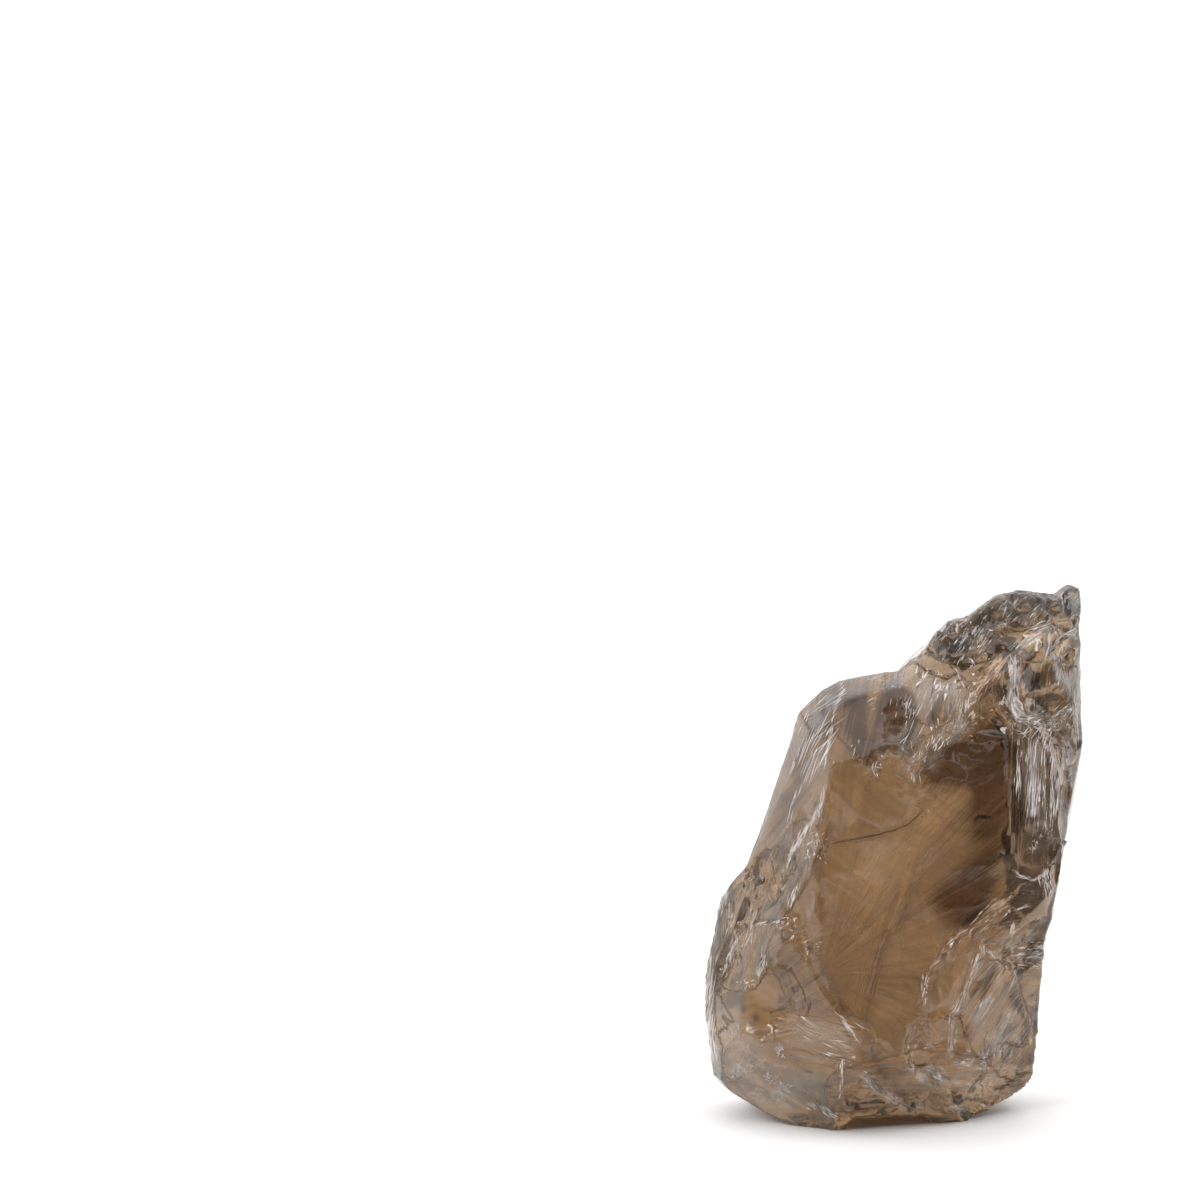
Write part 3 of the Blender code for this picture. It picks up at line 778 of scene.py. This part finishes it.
# %% The quartz material
QUARTZ_IOR = 1.544
SEE_THROUGH = 0.86
LIGHT_SMOKE_AND_PAINTED_LIGHT = (0.68, 0.445, 0.225, 1.0)
DEEP_SMOKE_AND_PAINTED_SHADE = (0.056, 0.029, 0.015, 1.0)
HAZE_AND_SHEEN_GREY = (0.75, 0.65, 0.57, 1.0)
DUST_TINT = (0.93, 0.89, 0.85, 1.0)
SMOKE_COLOUR = (0.51, 0.38, 0.21, 1.0)
SMOKE_DENSITY = 90.0
CLEAR_ROUGHNESS = 0.035
DULL_ROUGHNESS = 0.42
RELIEF_STRENGTH = 0.8
RELIEF_DEPTH = 0.1 * MM


def new_material(name):
    """An empty material: itself, its node tree, its Principled node and its output node."""
    material = bpy.data.materials.new(name)
    material.use_nodes = True
    tree = material.node_tree
    return material, tree, tree.nodes["Principled BSDF"], tree.nodes["Material Output"]


def stored_mask(tree, name, output="Fac"):
    """A stored mask or vector of the mesh."""
    return add_node(tree, "ShaderNodeAttribute", attribute_name=name).outputs[output]


def colour_mix(tree, mask, first, second):
    """A colour that goes from first to second as the mask goes from 0 to 1."""
    inputs = {"Factor": mask, "A": first, "B": second}
    return add_node(tree, "ShaderNodeMix", inputs, data_type="RGBA").outputs["Result"]


def bump_node(tree, height, strength, distance):
    """A Bump node on a height. Its distance is in metres."""
    inputs = {"Height": height, "Strength": strength, "Distance": distance}
    return add_node(tree, "ShaderNodeBump", inputs).outputs["Normal"]


def quartz_material():
    """The see-through brown body of the stone."""
    material, tree, shader, output = new_material("smoky_quartz_clear")
    times = partial(math_node, tree, "MULTIPLY")
    plus = partial(math_node, tree, "ADD")
    less = partial(math_node, tree, "SUBTRACT")
    mix = partial(colour_mix, tree)
    masks = {name: stored_mask(tree, name.lower()) for name in ("Bruised", "Frosted", "Haze_And_Sheen", "Streaky")}
    finish = add_node(tree, "ShaderNodeGroup", node_tree=FINISH)
    feed(tree, finish, {
        "Coordinates": add_node(tree, "ShaderNodeTexCoord").outputs["Object"],
        "Grain": stored_mask(tree, "grain", "Vector"),
        "Clear Roughness": CLEAR_ROUGHNESS,
        "Dull Roughness": DULL_ROUGHNESS,
        **masks,
    })
    lines = finish.outputs["Lines"]
    swing = times(less(lines, 0.5), plus(times(masks["Streaky"], 4.8), 0.8))
    body = mix(plus(stored_mask(tree, "smoke_and_shade"), swing, clamp=True), LIGHT_SMOKE_AND_PAINTED_LIGHT, DEEP_SMOKE_AND_PAINTED_SHADE)
    # Painted sheen and haze: the colour turns grey along the fine lines where the mask is high.
    haze_and_sheen_veil = times(masks["Haze_And_Sheen"], less(times(lines, 3.6), 0.85, clamp=True), clamp=True)
    body = mix(haze_and_sheen_veil, body, HAZE_AND_SHEEN_GREY)
    feed(tree, shader, {
        "Base Color": mix(finish.outputs["Dust"], body, DUST_TINT),
        "Roughness": finish.outputs["Roughness"],
        "Normal": bump_node(tree, finish.outputs["Height"], RELIEF_STRENGTH, RELIEF_DEPTH),
        "IOR": QUARTZ_IOR,
        "Transmission Weight": SEE_THROUGH,
    })
    smoke = add_node(tree, "ShaderNodeVolumeAbsorption", {"Color": SMOKE_COLOUR, "Density": SMOKE_DENSITY})
    feed(tree, output, {"Volume": smoke.outputs["Volume"]})
    return material


stone.data.materials.clear()
stone.data.materials.append(quartz_material())
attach(stone, "root")
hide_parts("smoky_quartz")
print("stone:", len(stone.data.vertices), "vertices")

# %% [markdown]
# ## A tree that lays slivers
# White lines on broken quartz are splinters: thin slivers, half loose, that catch the light. Many of the
# white ones here also stand where the stone shows only a glint or sheen, as painted highlights. Fibres inside
# the stone have the same shape. There are thousands, and each is the same small octahedron, only stretched
# and
# turned. That is a job for Geometry Nodes: a mesh of bare points carries the directions and the lengths, and
# one tree puts a sliver on each of them.


# %% Build the tree
def sliver_tree():
    """One sliver on each point, turned by its stored directions and stretched to its stored reach."""
    inputs = {"Points": "Geometry", "Width": "Float", "Thickness": "Float"}
    inputs |= {"Seed": "Int", "Finish": "Material"}
    tree, given, result = open_group("lay_slivers", "GeometryNodeTree", inputs, {"Slivers": "Geometry"})
    times = partial(math_node, tree, "MULTIPLY")

    def stored(name, kind):
        node = add_node(tree, "GeometryNodeInputNamedAttribute", {"Name": name}, data_type=kind)
        return next(socket for socket in node.outputs if socket.enabled and socket.name == "Attribute")

    def aimed(axis, pivot, inputs):
        node = add_node(tree, "FunctionNodeAlignRotationToVector", inputs, axis=axis, pivot_axis=pivot)
        return node.outputs["Rotation"]

    shape = add_node(tree, "GeometryNodeMeshUVSphere", {"Segments": 4, "Rings": 2, "Radius": 0.5})
    varied = add_node(tree, "FunctionNodeRandomValue", {"Seed": given["Seed"]}, data_type="FLOAT")
    limits = [socket for socket in varied.inputs if socket.enabled and socket.name in ("Min", "Max")]
    limits[0].default_value, limits[1].default_value = 0.45, 1.25
    stout = next(socket for socket in varied.outputs if socket.enabled)
    size = add_node(tree, "ShaderNodeCombineXYZ", {
        "X": stored("reach", "FLOAT"),
        "Y": times(given["Width"], stout),
        "Z": times(given["Thickness"], stout),
    })
    upright = aimed("Z", "AUTO", {"Vector": stored("look", "FLOAT_VECTOR")})
    lay = add_node(tree, "GeometryNodeInstanceOnPoints", {
        "Points": given["Points"],
        "Instance": shape.outputs["Mesh"],
        "Rotation": aimed("X", "Z", {"Rotation": upright, "Vector": stored("run", "FLOAT_VECTOR")}),
        "Scale": size.outputs["Vector"],
    })
    real = add_node(tree, "GeometryNodeRealizeInstances", {"Geometry": lay.outputs["Instances"]})
    painted = {"Geometry": real.outputs["Geometry"], "Material": given["Finish"]}
    painted = add_node(tree, "GeometryNodeSetMaterial", painted)
    feed(tree, result, {"Slivers": painted.outputs["Geometry"]})
    return tree


SLIVERS = sliver_tree()
print("nodes in the sliver tree:", len(SLIVERS.nodes))

# %% [markdown]
# ## Where the slivers lie
# Each bundle is a front-view path with a number of slivers, how far they stray to the side, and their
# shortest and longest reach. They run along the path, or at a given angle, or any way. A ray from the
# camera's place finds the skin behind each spot, so a sliver always sits on the stone, or at a set depth
# inside it.

# %% Points for the slivers
corners = [vertex.co.copy() for vertex in stone.data.vertices]
skin_tree = BVHTree.FromPolygons(corners, [tuple(face.vertices) for face in stone.data.polygons])
dice = np.random.default_rng(20)
FACING_LEAST = 0.10
LOWEST = 1.2 * MM
ALONG_SWAY, ANGLE_SWAY = 0.04, 0.08
EYE = Vector(VIEW_SPOT * MM)


def bundle_place(path, marks, spread, angle=None):
    """A random place of a bundle, and the way its sliver runs, in the front view."""
    mark = dice.uniform(0, marks[-1])
    leg = min(int(np.searchsorted(marks, mark, side="right")) - 1, len(path) - 2)
    ahead = (path[leg + 1] - path[leg]) / (marks[leg + 1] - marks[leg])
    spot = path[leg] + ahead * (mark - marks[leg])
    spot = spot + np.array([-ahead[1], ahead[0]]) * dice.normal(0, spread)
    if angle == "any":
        heading = dice.uniform(0, math.pi)
    elif angle is None:
        heading = math.atan2(ahead[1], ahead[0]) + dice.normal(0, ALONG_SWAY)
    else:
        heading = math.radians(angle) + dice.normal(0, ANGLE_SWAY)
    return spot, Vector((math.cos(heading), 0, math.sin(heading)))


def sliver_points(bundles, depths):
    """Places, directions and reaches of all the slivers of some bundles."""
    rows = []
    for path, number, spread, short, long, *angle in bundles:
        path = np.array(path, float)
        marks = np.concatenate([[0], np.cumsum(np.linalg.norm(np.diff(path, axis=0), axis=1))])
        for _ in range(int(number)):
            spot, run = bundle_place(path, marks, spread, *angle)
            reach = dice.uniform(short, long) * MM
            depth = dice.uniform(*depths) * MM
            sideways, upwards = spot[0] - VIEW_CENTRE[0], spot[1] - VIEW_CENTRE[2]
            aim_at = VIEW_CENTRE + np.array([sideways, 0, 0]) + VIEW_UP * upwards
            hit, look, _, _ = skin_tree.ray_cast(EYE, Vector(aim_at * MM) - EYE)
            if hit is None or -look.y < FACING_LEAST or hit.z < LOWEST:
                continue
            run = (run - look * run.dot(look)).normalized()
            rows.append((hit + Vector((0, depth, 0)), run, look, reach))
    return rows


def lay_slivers(name, bundles, depths, width, thickness, material):
    """Makes one piece of slivers from its bundles. Sizes in millimetres."""
    rows = sliver_points(bundles, depths)
    spots, runs, normals, reaches = zip(*rows)
    points = bpy.data.meshes.new(name)
    points.from_pydata(spots, [], [])
    for stored_name, values in (("run", runs), ("look", normals), ("reach", reaches)):
        store(points, stored_name, np.array(values))
    piece = add_object(name, points)
    layer = piece.modifiers.new("slivers", "NODES")
    layer.node_group = SLIVERS
    given = {"Width": width * MM, "Thickness": thickness * MM, "Seed": 7, "Finish": material}
    for socket in SLIVERS.interface.items_tree:
        if socket.in_out == "INPUT" and socket.name in given:
            layer[socket.identifier] = given[socket.name]
    piece.data = evaluated_copy(piece, name)
    piece.modifiers.clear()
    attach(piece, "root")
    print(name + ":", len(rows), "slivers,", len(piece.data.polygons), "faces")


print("ready to lay slivers")

# %% [markdown]
# ## Finishes of the slivers
# Loose splinters are white, because light scatters in their cracks, and the white finish also paints
# glints. Thin films just under the skin are pale, and partly paint a sheen; in two cracks they are tan to
# peach. The fibres deep inside look tan, the golden flecks paint golden glints, and the dark finish paints
# shade along steps. One function makes all of these finishes from a dark and a pale colour, with the same
# fracture finish as the stone.


# %% Sliver materials
def sliver_material(name, dark, pale, rough):
    """A dull finish that varies between two colours from sliver to sliver."""
    material, tree, shader, _ = new_material(name)
    where = add_node(tree, "ShaderNodeTexCoord").outputs["Object"]
    finish = add_node(tree, "ShaderNodeGroup", node_tree=FINISH)
    masks = {"Bruised": 0.8, "Streaky": 0.3, "Clear Roughness": rough * 0.6, "Dull Roughness": rough}
    feed(tree, finish, {"Coordinates": where, "Grain": where, **masks})
    feed(tree, shader, {
        "Base Color": colour_mix(tree, noise_node(tree, where, 420, 2), (*dark, 1.0), (*pale, 1.0)),
        "Roughness": finish.outputs["Roughness"],
        "Normal": bump_node(tree, finish.outputs["Height"], 0.3, 0.03 * MM),
        "IOR": QUARTZ_IOR,
    })
    return material


# The white finish also paints glints and sheen: many white splinters lie where the stone shows a highlight.
WHITE_SPLINTER_AND_GLINT = sliver_material("bruised_white_and_glint", (0.46, 0.41, 0.38), (0.93, 0.90, 0.88), 0.45)
TAN = sliver_material("fibre_tan", (0.66, 0.48, 0.32), (1.0, 0.86, 0.66), 0.6)
PALE_FILM_AND_SHEEN = sliver_material("film_pale_and_sheen", (0.42, 0.37, 0.35), (0.90, 0.85, 0.84), 0.3)
PEACH = sliver_material("film_peach", (0.54, 0.34, 0.20), (0.90, 0.67, 0.49), 0.4)
GOLD_GLINT = sliver_material("fleck_gold_glint", (0.55, 0.36, 0.16), (0.95, 0.74, 0.42), 0.35)
# A dark finish that paints shade along steps.
DARK_SEAM_SHADE = sliver_material("seam_dark_shade", (0.05, 0.03, 0.02), (0.16, 0.10, 0.07), 0.6)
print("sliver finishes: 6")

# %% [markdown]
# ## White splinters and painted glints
# The bevel at the upper left is crossed by long parallel lines, the pale face ends in a hackled edge, the
# cup has a white wall, the band stands in white columns, and the left rim is white all along. Much of this
# white is a painted highlight, laid where those faces mirror the lights. They are listed face by face, from
# the top of the stone down.

# %% Splinters and painted glints on the left and the top
# After the bar: the number, the spread, the shortest and longest reach, and an angle if it isn't the path's.
LEFT_SPLINTERS_AND_GLINTS = table("""
-12.2 43, -7 48.7 | 14 0.05 3 7  # bevel
-12.5 42, -7.2 47.5 | 12 0.05 3 7
-11.3 41.5, -7.4 46 | 11 0.05 3 6
-11.8 39.6, -7.7 44.5 | 12 0.16 3 7
-10.9 40.2, -12.4 37.6, -12.5 36.1 | 18 0.15 1 3
-10.2 49.8, -6.4 51.5 | 6 0.3 2 5
-9.4 48.7, -6.6 51.4 | 7 0.4 2 5
-6.2 52.6, -6.1 51.2, -7 49.4, -7.4 47.3, -8 44.2, -8.3 42.4 | 66 0.12 0.8 2.2
-8.2 40.3, -8.6 37.9, -9.8 35.8, -11 34, -12.5 31.3 | 90 0.18 1 3
-20.6 27.2, -21.6 24.6, -22.1 21.6, -22.3 18, -22.3 13.8, -22 9.6, -21.6 7.4 | 252 0.26 1 3.5  # rim
-20.4 27.2, -21.2 24.6, -21.7 21.6, -22 18, -22 13.8, -21.6 9.6, -21.2 7.4 | 54 0.2 1 3.5
-20 27.6, -21 24.6 | 36 0.3 0.8 2.4
-10.2 35.5, -11.2 33.4, -12.4 31.7, -13.1 29.9 | 54 0.12 0.8 2.2
-8.9 34.6, -9.7 31.2 | 78 0.8 0.3 0.9 any
-11.5 28.2, -12.6 25.3 | 36 0.25 0.6 1.8
-13.3 28.2, -13.2 27.7 | 16 0.25 0.3 0.9 any
-13.1 23.6, -14 22.9 | 14 0.2 0.3 0.9
-16.4 23.6, -13.1 23.9 | 24 0.12 0.6 1.6
-18.8 21.5, -19.6 19.9, -20.3 17.5 | 48 0.12 0.8 2.2
-16.7 25.1, -17.4 21.2, -17.9 20.4 | 48 0.3 0.6 2
-15.7 19.9, -15.5 18.5, -16.4 17.3 | 36 0.2 0.5 1.5
-17.6 16.8, -17.5 15.8 | 26 0.5 0.3 0.9 any
-17.3 28.8, -16.6 29.3 | 8 0.2 0.4 1
-19.3 24.6, -19.9 22.2 | 14 0.2 0.5 1.6
-19 6.5, -18.5 5.3 | 42 0.7 0.4 1.2 any  # corner
-14 8.4, -13.3 8.6 | 26 0.45 0.4 1.1 any
-14.9 5.6, -13.7 5 | 18 0.6 0.3 0.9 any
-14.2 3.6, -12.7 2.9 | 54 0.6 0.4 1.3 any
-10.2 1.8, -8.6 1.4, -7 0.4 | 48 0.25 0.4 1.3
-6.2 6.8, -6.5 2.8 | 36 0.2 0.5 1.6
-11.3 11.8, -7.7 11, -4.3 9.4 | 16 1 1 3 -20
-5.9 11.8, -4.1 9.4 | 24 0.12 0.8 2.2
-12.5 8.6, -7.7 8.2, -4.7 7.7 | 12 0.7 0.8 2 -8
""")
TOP_SPLINTERS_AND_GLINTS = table("""
-3.8 46.4, -4.2 44.8, -4.6 43.6 | 15 0.4 0.4 1.2
-2.6 43.4, -1.8 41.4 | 14 0.22 0.8 2
-3.4 50.4, -1.7 51.6 | 11 0.8 0.5 1.4 35
-3.1 53.4, 0.2 52.6, 1.1 51.6 | 36 0.5 0.3 0.8 any
1.6 42.2, 3.7 44.2, 7.9 47.9, 8.6 49.7 | 138 0.55 0.4 1.1 65
2.2 42.2, 2.5 40.6 | 26 0.25 0.5 1.6
2.5 51.6, 3.7 46.2 | 36 2.4 1 3 75
7.7 54.1, 8.8 51.6, 8.8 49.1 | 36 0.16 0.8 2
9.8 59, 11 57 | 24 0.5 0.8 2 60
7.3 57.6, 8.5 55.2 | 24 0.6 0.6 1.6 60
5.5 57.6, 12.7 61.2, 17.5 62.4 | 54 0.9 0.5 1.5 50
""")
# The numbers after the depths are the width and the thickness of a sliver, in millimetres.
ON_SKIN = (0.0, 0.04)
lay_slivers("left_splinters_and_glints", LEFT_SPLINTERS_AND_GLINTS, ON_SKIN, 0.11, 0.07, WHITE_SPLINTER_AND_GLINT)
lay_slivers("top_splinters_and_glints", TOP_SPLINTERS_AND_GLINTS, ON_SKIN, 0.11, 0.07, WHITE_SPLINTER_AND_GLINT)

# %% Splinters and painted glints on the right
RIGHT_SPLINTERS_AND_GLINTS = table("""
14.6 55.1, 14.2 49.9, 15.2 48.5 | 102 0.22 1 3  # cup
19.8 55.4, 20.2 54.7, 21 54.6, 21.8 55.4, 22 56.5, 21.1 56.9, 20.2 56.4, 19.8 55.4 | 48 0.07 0.5 1.1
20.4 55.3, 21 55.2, 21.5 55.9, 21.1 56.3, 20.4 55.7 | 22 0.06 0.3 0.8
18 54.7, 18.7 56.4, 20.2 58, 22 58.9 | 36 0.15 1 2.5
14.8 56.4, 16.3 58, 18.2 58.9 | 42 0.4 1 2.6
22.4 55.6, 22.4 53.2, 22 48.4, 21.7 45.1 | 144 0.22 1 3
20 63.2, 20.3 62 | 24 0.3 0.5 1.5
14.8 48.5, 18.5 47.6, 21.6 49.8 | 78 0.4 0.4 1.6
15 46, 16.9 47, 21.5 47.4 | 78 0.5 0.4 1.6 any
15.1 45, 15 38.4 | 36 0.2 1.5 4  # band and pocket
16.8 44.6, 16.8 37 | 102 0.45 1.5 4
18.1 45.4, 18.2 34.8 | 42 0.2 1 3
19 45, 19 35.4 | 36 0.2 1 3
19.8 45, 19.4 36.6 | 36 0.25 1 3
16.7 33.4, 17.3 33.1 | 18 0.5 0.3 0.9 any
14.2 30.2, 15.2 29.3, 16.7 28.8, 18.2 29.3 | 36 0.12 0.5 1.5
18.2 30, 18.7 27.1 | 60 0.35 0.4 1.5
14.3 23.8, 14.2 21.8 | 20 0.15 0.6 1.5
16.1 25.8, 14.4 25 | 13 0.06 0.6 1.6
13.3 24.2, 13.9 25.1 | 8 0.2 0.3 0.8
11.5 20.3, 13.8 18.8, 17.8 18.6 | 48 0.22 0.5 1.6
13.9 20.9, 17.8 20.8 | 36 0.3 0.6 1.8
13.9 19.7, 17.8 19.7 | 24 0.2 0.6 1.8
16 22.2, 16.7 23 | 8 0.15 0.5 1.2
3.8 17.4, 3.6 14 | 30 0.22 0.5 1.5  # ribs and ledges
10.8 21, 9.2 16.7, 7.2 12.6, 6.8 7.9 | 126 0.26 0.5 1.6
9.6 11.9, 11.4 14.6 | 36 0.45 0.8 2.2
12.5 10.8, 13.7 6.5 | 60 0.8 0.6 1.8 56
13 11.2, 14.4 13.2 | 18 0.2 0.8 2
10.9 17.4, 16.9 21.6 | 24 1.2 1.5 4 46
3.7 9, 6.1 9.4 | 24 0.3 0.4 1.4
7.3 7.1, 11.2 6.6 | 42 0.35 0.6 2
3.7 6.5, 6.1 4.8 | 42 0.6 0.4 1.3
6.7 1.7, 8.5 1.1 | 24 0.3 0.6 2
-3.6 5.5, -1.7 3.6, 1.3 1.7 | 66 0.28 0.6 1.8
2.8 1.9, 3.7 1.9 | 10 0.25 0.3 0.9 any
10.9 5.4, 15.7 6 | 36 0.8 0.5 1.6 20
""")
lay_slivers("right_splinters_and_glints", RIGHT_SPLINTERS_AND_GLINTS, ON_SKIN, 0.12, 0.08, WHITE_SPLINTER_AND_GLINT)

# %% [markdown]
# ## Fibres, films, glint flecks and shaded seams inside
# Behind the large clear face, tan fibres fan out in a loose veil, up to three millimetres deep. Wide pale
# films lie half a millimetre down at most, where the stone is bruised, and partly paint a sheen. Two cracks
# carry a peach film, gold flecks near the top paint golden glints, and thin dark seams paint shade along the
# steps of the clear face, the pale facet and a ridge.

# %% Lay what is inside
WARM_FIBRES = table("""
12.7 43.2, 4.3 34.8, -0.5 27.6, -4.1 20.4 | 50 1.6 2 8
7.9 38.4, 0.7 31.2 | 40 1.8 2 8
-5.3 22.8, -1.4 28.8 | 34 1 2 6
-8.3 21.6, -6 22.8, -3.1 24.2 | 30 1 1.5 4
-3.4 14.4, -1.7 21.6, 1.3 28.8 | 24 1 2 7
-11.3 11.4, -4.6 9.4 | 60 1.5 1 3
-0.6 31.7, 1 33 | 16 0.3 0.8 2.4
""")
PEACH_FEATHERS = table("""
13.1 55.6, 11.5 52.8, 10.4 51.1 | 260 0.4 1 3
13.6 26.6, 11.9 25.4, 9.8 23.5, 7.8 22.1, 5.8 19.7 | 420 0.32 0.8 2.4
12.8 26.2, 10.9 24.4, 8.9 22.6 | 230 0.6 1 3
1.3 45, 2.5 42.6 | 40 0.4 0.5 1.5
5.8 19.7, 4.3 17.8 | 60 0.15 0.6 1.6
""")
# Painted golden glints: flecks laid where the stone shows golden highlights.
GOLD_GLINT_FLECKS = table("""
11.9 49.1, 9.1 47.2 | 60 0.2 0.5 1.6
8.5 46.2, 9.8 45.4 | 16 0.3 0.3 0.9 any
11.9 59.2, 14 58.8 | 44 0.6 0.2 0.7 any
3.4 38.6, 4.3 36.5 | 34 0.5 0.2 0.8 any
-3.4 39.8, -2.9 39.6 | 8 0.2 0.2 0.6 any
-7.3 39, -7.1 38.4 | 8 0.2 0.2 0.6 any
""")
# Painted shade: dark slivers along the edges of steps, where the crease looks dark.
DARK_SEAMS_AND_SHADE = table("""
-7.6 33.1, -5.2 33.6, -2 34.2, 0.1 34.8, 1.8 35.5, 3.7 37.3 | 130 0.04 1 2.5
0.7 54, 1.7 54.7, 2.8 54.7, 4 53.8, 4.9 53.4, 6.4 52.9, 7.7 53.6 | 110 0.06 0.8 2
4.9 53.2, 4.7 51.2 | 22 0.05 0.6 1.6
10.8 21.2, 13.8 23.4, 14.6 25 | 30 0.08 0.8 2
""")
# Partly films just under the skin and partly painted sheen and light: the films on the cup wall, the column
# facet and the corner lighten faces where reflected light shows.
PALE_FILMS_AND_SHEEN = table("""
3.6 53.8, 4.8 47.4 | 30 0.6 1.5 4 82
6.1 52.2, 6.1 48 | 60 1.1 1 3 74
14.6 54.7, 14.4 49.9, 15.1 48.5 | 80 0.4 1 3
16.8 44.4, 16.8 37.2 | 70 0.7 2 5 88
15.4 48.5, 20.9 47.5 | 40 0.8 0.8 2.4 20
-19.9 10.8, -17.9 5.4, -13.7 3 | 60 2 0.5 1.6 any
-19 6.5, -18.5 5.3 | 20 0.6 0.5 1.2 any
-14.2 3.6, -12.7 2.9 | 24 0.6 0.5 1.3 any
-14 8.4, -13.3 8.6 | 12 0.4 0.4 1 any
-3.6 5.3, -1.2 3.6 | 30 0.5 0.6 1.8 -35
3.8 6.2, 6.1 4.6 | 24 0.7 0.6 1.6 -30
-11.3 10.8, -5.3 9.6 | 12 1.4 1.5 4 -20
13.3 22.8, 16.3 21 | 24 1.2 0.8 2.4 10
18.1 57.6, 21.1 51.6 | 24 1 0.8 2.4 70
-9.5 50.4, -11.3 42 | 10 1.4 2 5 50
11.4 14.6, 9.7 12.1 | 26 0.5 1 2.6
14.2 12.7, 12.2 9.8, 12.7 7 | 44 0.8 0.8 2.6
7.9 57.6, 12.7 60.6, 18.7 62.2 | 40 1.2 0.6 1.6 any
""")
lay_slivers("pale_films_and_sheen", PALE_FILMS_AND_SHEEN, (0.02, 0.5), 0.42, 0.03, PALE_FILM_AND_SHEEN)
lay_slivers("inner_fibres", WARM_FIBRES, (0.5, 3.0), 0.06, 0.04, TAN)
lay_slivers("peach_films", PEACH_FEATHERS, (0.0, 0.3), 0.12, 0.05, PEACH)
lay_slivers("gold_glint_flecks", GOLD_GLINT_FLECKS, (0.0, 0.2), 0.14, 0.07, GOLD_GLINT)
lay_slivers("dark_seams_and_shade", DARK_SEAMS_AND_SHADE, (0.0, 0.05), 0.06, 0.05, DARK_SEAM_SHADE)

# %% [markdown]
# ## A plain studio
# The stone stands on a wide pale floor under one soft ceiling panel. Upright soft boxes at both sides lay
# pale sheets of reflection on the faces that look their way, and a small one at the front left wakes the
# splinters. The room is bright near the floor and dimmer above and behind the viewer. The large clear face
# leans forward and would mirror the pale floor, so a dark card lies there that shows in reflections only.

# %% Floor, lights and room
FLOOR_SIDE = 6.0
FLOOR_GREY = 0.92
CARD_GREY = 0.02
CARD_LEVEL = 0.002
CEILING_POWER = 3.0
CEILING_SPREAD = math.radians(110)
MIDDLE = (0.0, 0.0, 0.032)


def paper_sheet(name, low, high, level, grey):
    """A level sheet of matt paper from its low corner to its high corner."""
    mesh = bmesh.new()
    corners = [low, (high[0], low[1]), high, (low[0], high[1])]
    mesh.faces.new([mesh.verts.new((*corner, level)) for corner in corners])
    sheet = add_object(name, bpy.data.meshes.new(name))
    mesh.to_mesh(sheet.data)
    mesh.free()
    material, tree, shader, _ = new_material(name + "_paper")
    feed(tree, shader, {"Base Color": (grey, grey, grey, 1.0), "Roughness": 0.9})
    sheet.data.materials.append(material)
    return sheet


floor = paper_sheet("floor", (-FLOOR_SIDE, -FLOOR_SIDE), (FLOOR_SIDE, FLOOR_SIDE), 0.0, FLOOR_GREY)
card = paper_sheet("dark_card", (-0.03, -0.60), (0.50, -0.045), CARD_LEVEL, CARD_GREY)
for kind in ("camera", "diffuse", "transmission", "shadow"):
    setattr(card, "visible_" + kind, False)


def soft_light(name, kind, spot, target, power):
    """A light at spot that looks at target. Its power is in watts, or a strength for a sun light."""
    light = bpy.data.lights.new(name, kind)
    light.energy = power
    made = bpy.data.objects.new(name, light)
    bpy.context.scene.collection.objects.link(made)
    made.location = spot
    made.rotation_euler = (Vector(target) - Vector(spot)).to_track_quat("-Z", "Y").to_euler()
    return light


def soft_box(name, spot, size, power):
    """A rectangular light that looks at the middle of the stone. Sizes in metres."""
    light = soft_light(name, "AREA", spot, MIDDLE, power)
    light.shape = "RECTANGLE"
    light.size, light.size_y = size


ceiling = soft_light("ceiling_light", "SUN", (-0.05, 0.20, 1.0), (0.0, 0.0, 0.0), CEILING_POWER)
ceiling.angle = CEILING_SPREAD
soft_box("left_light", (-0.45, 0.16, 0.12), (0.30, 0.34), 0.15)
soft_box("right_light", (0.42, 0.08, 0.10), (0.16, 0.34), 0.42)
soft_box("front_light", (-0.46, -0.46, 0.42), (0.26, 0.26), 2.2)


def room_world():
    """A room that is bright low down and at the back, and dimmer above and behind the viewer."""
    world = bpy.data.worlds.new("room")
    world.use_nodes = True
    tree = world.node_tree
    generated = add_node(tree, "ShaderNodeTexCoord").outputs["Generated"]
    split = add_node(tree, "ShaderNodeSeparateXYZ", {"Vector": generated}).outputs

    def ramp(socket, low, high, start, end):
        inputs = {"Value": socket, "From Min": low, "From Max": high, "To Min": start, "To Max": end}
        return add_node(tree, "ShaderNodeMapRange", inputs, interpolation_type="SMOOTHSTEP").outputs["Result"]

    level = ramp(split["Z"], 0.12, 0.55, 1.25, 0.40)
    side = ramp(split["Y"], -0.75, 0.4, 0.13, 1.0)
    strength = math_node(tree, "MULTIPLY", level, side)
    feed(tree, tree.nodes["Background"], {"Strength": strength, "Color": (1.0, 0.995, 0.99, 1.0)})
    return world


bpy.context.scene.world = room_world()

# %% [markdown]
# ## The camera
# The picture was taken from nearly level with the stone, through a long lens. The stone stands right of
# and below the middle of the frame. The camera looks straight ahead from the middle of the frame, so no
# lens shift is needed. Its place and tilt are those that the masks were laid out with.

# %% Place the camera
FRAME_WIDTH = 0.144
SENSOR = 36.0

camera_data = bpy.data.cameras.new("camera")
camera_data.sensor_width = SENSOR
camera_data.lens = SENSOR * VIEW_DISTANCE * MM / FRAME_WIDTH
camera_data.clip_start = 0.01
camera_data.clip_end = 20.0
camera = bpy.data.objects.new("camera", camera_data)
bpy.context.scene.collection.objects.link(camera)
camera.location = Vector(VIEW_SPOT * MM)
camera.rotation_euler = (math.pi / 2 - VIEW_TILT, 0.0, 0.0)
bpy.context.scene.camera = camera
bpy.context.scene.view_settings.view_transform = "Standard"
print("lens in mm:", round(camera_data.lens, 1))
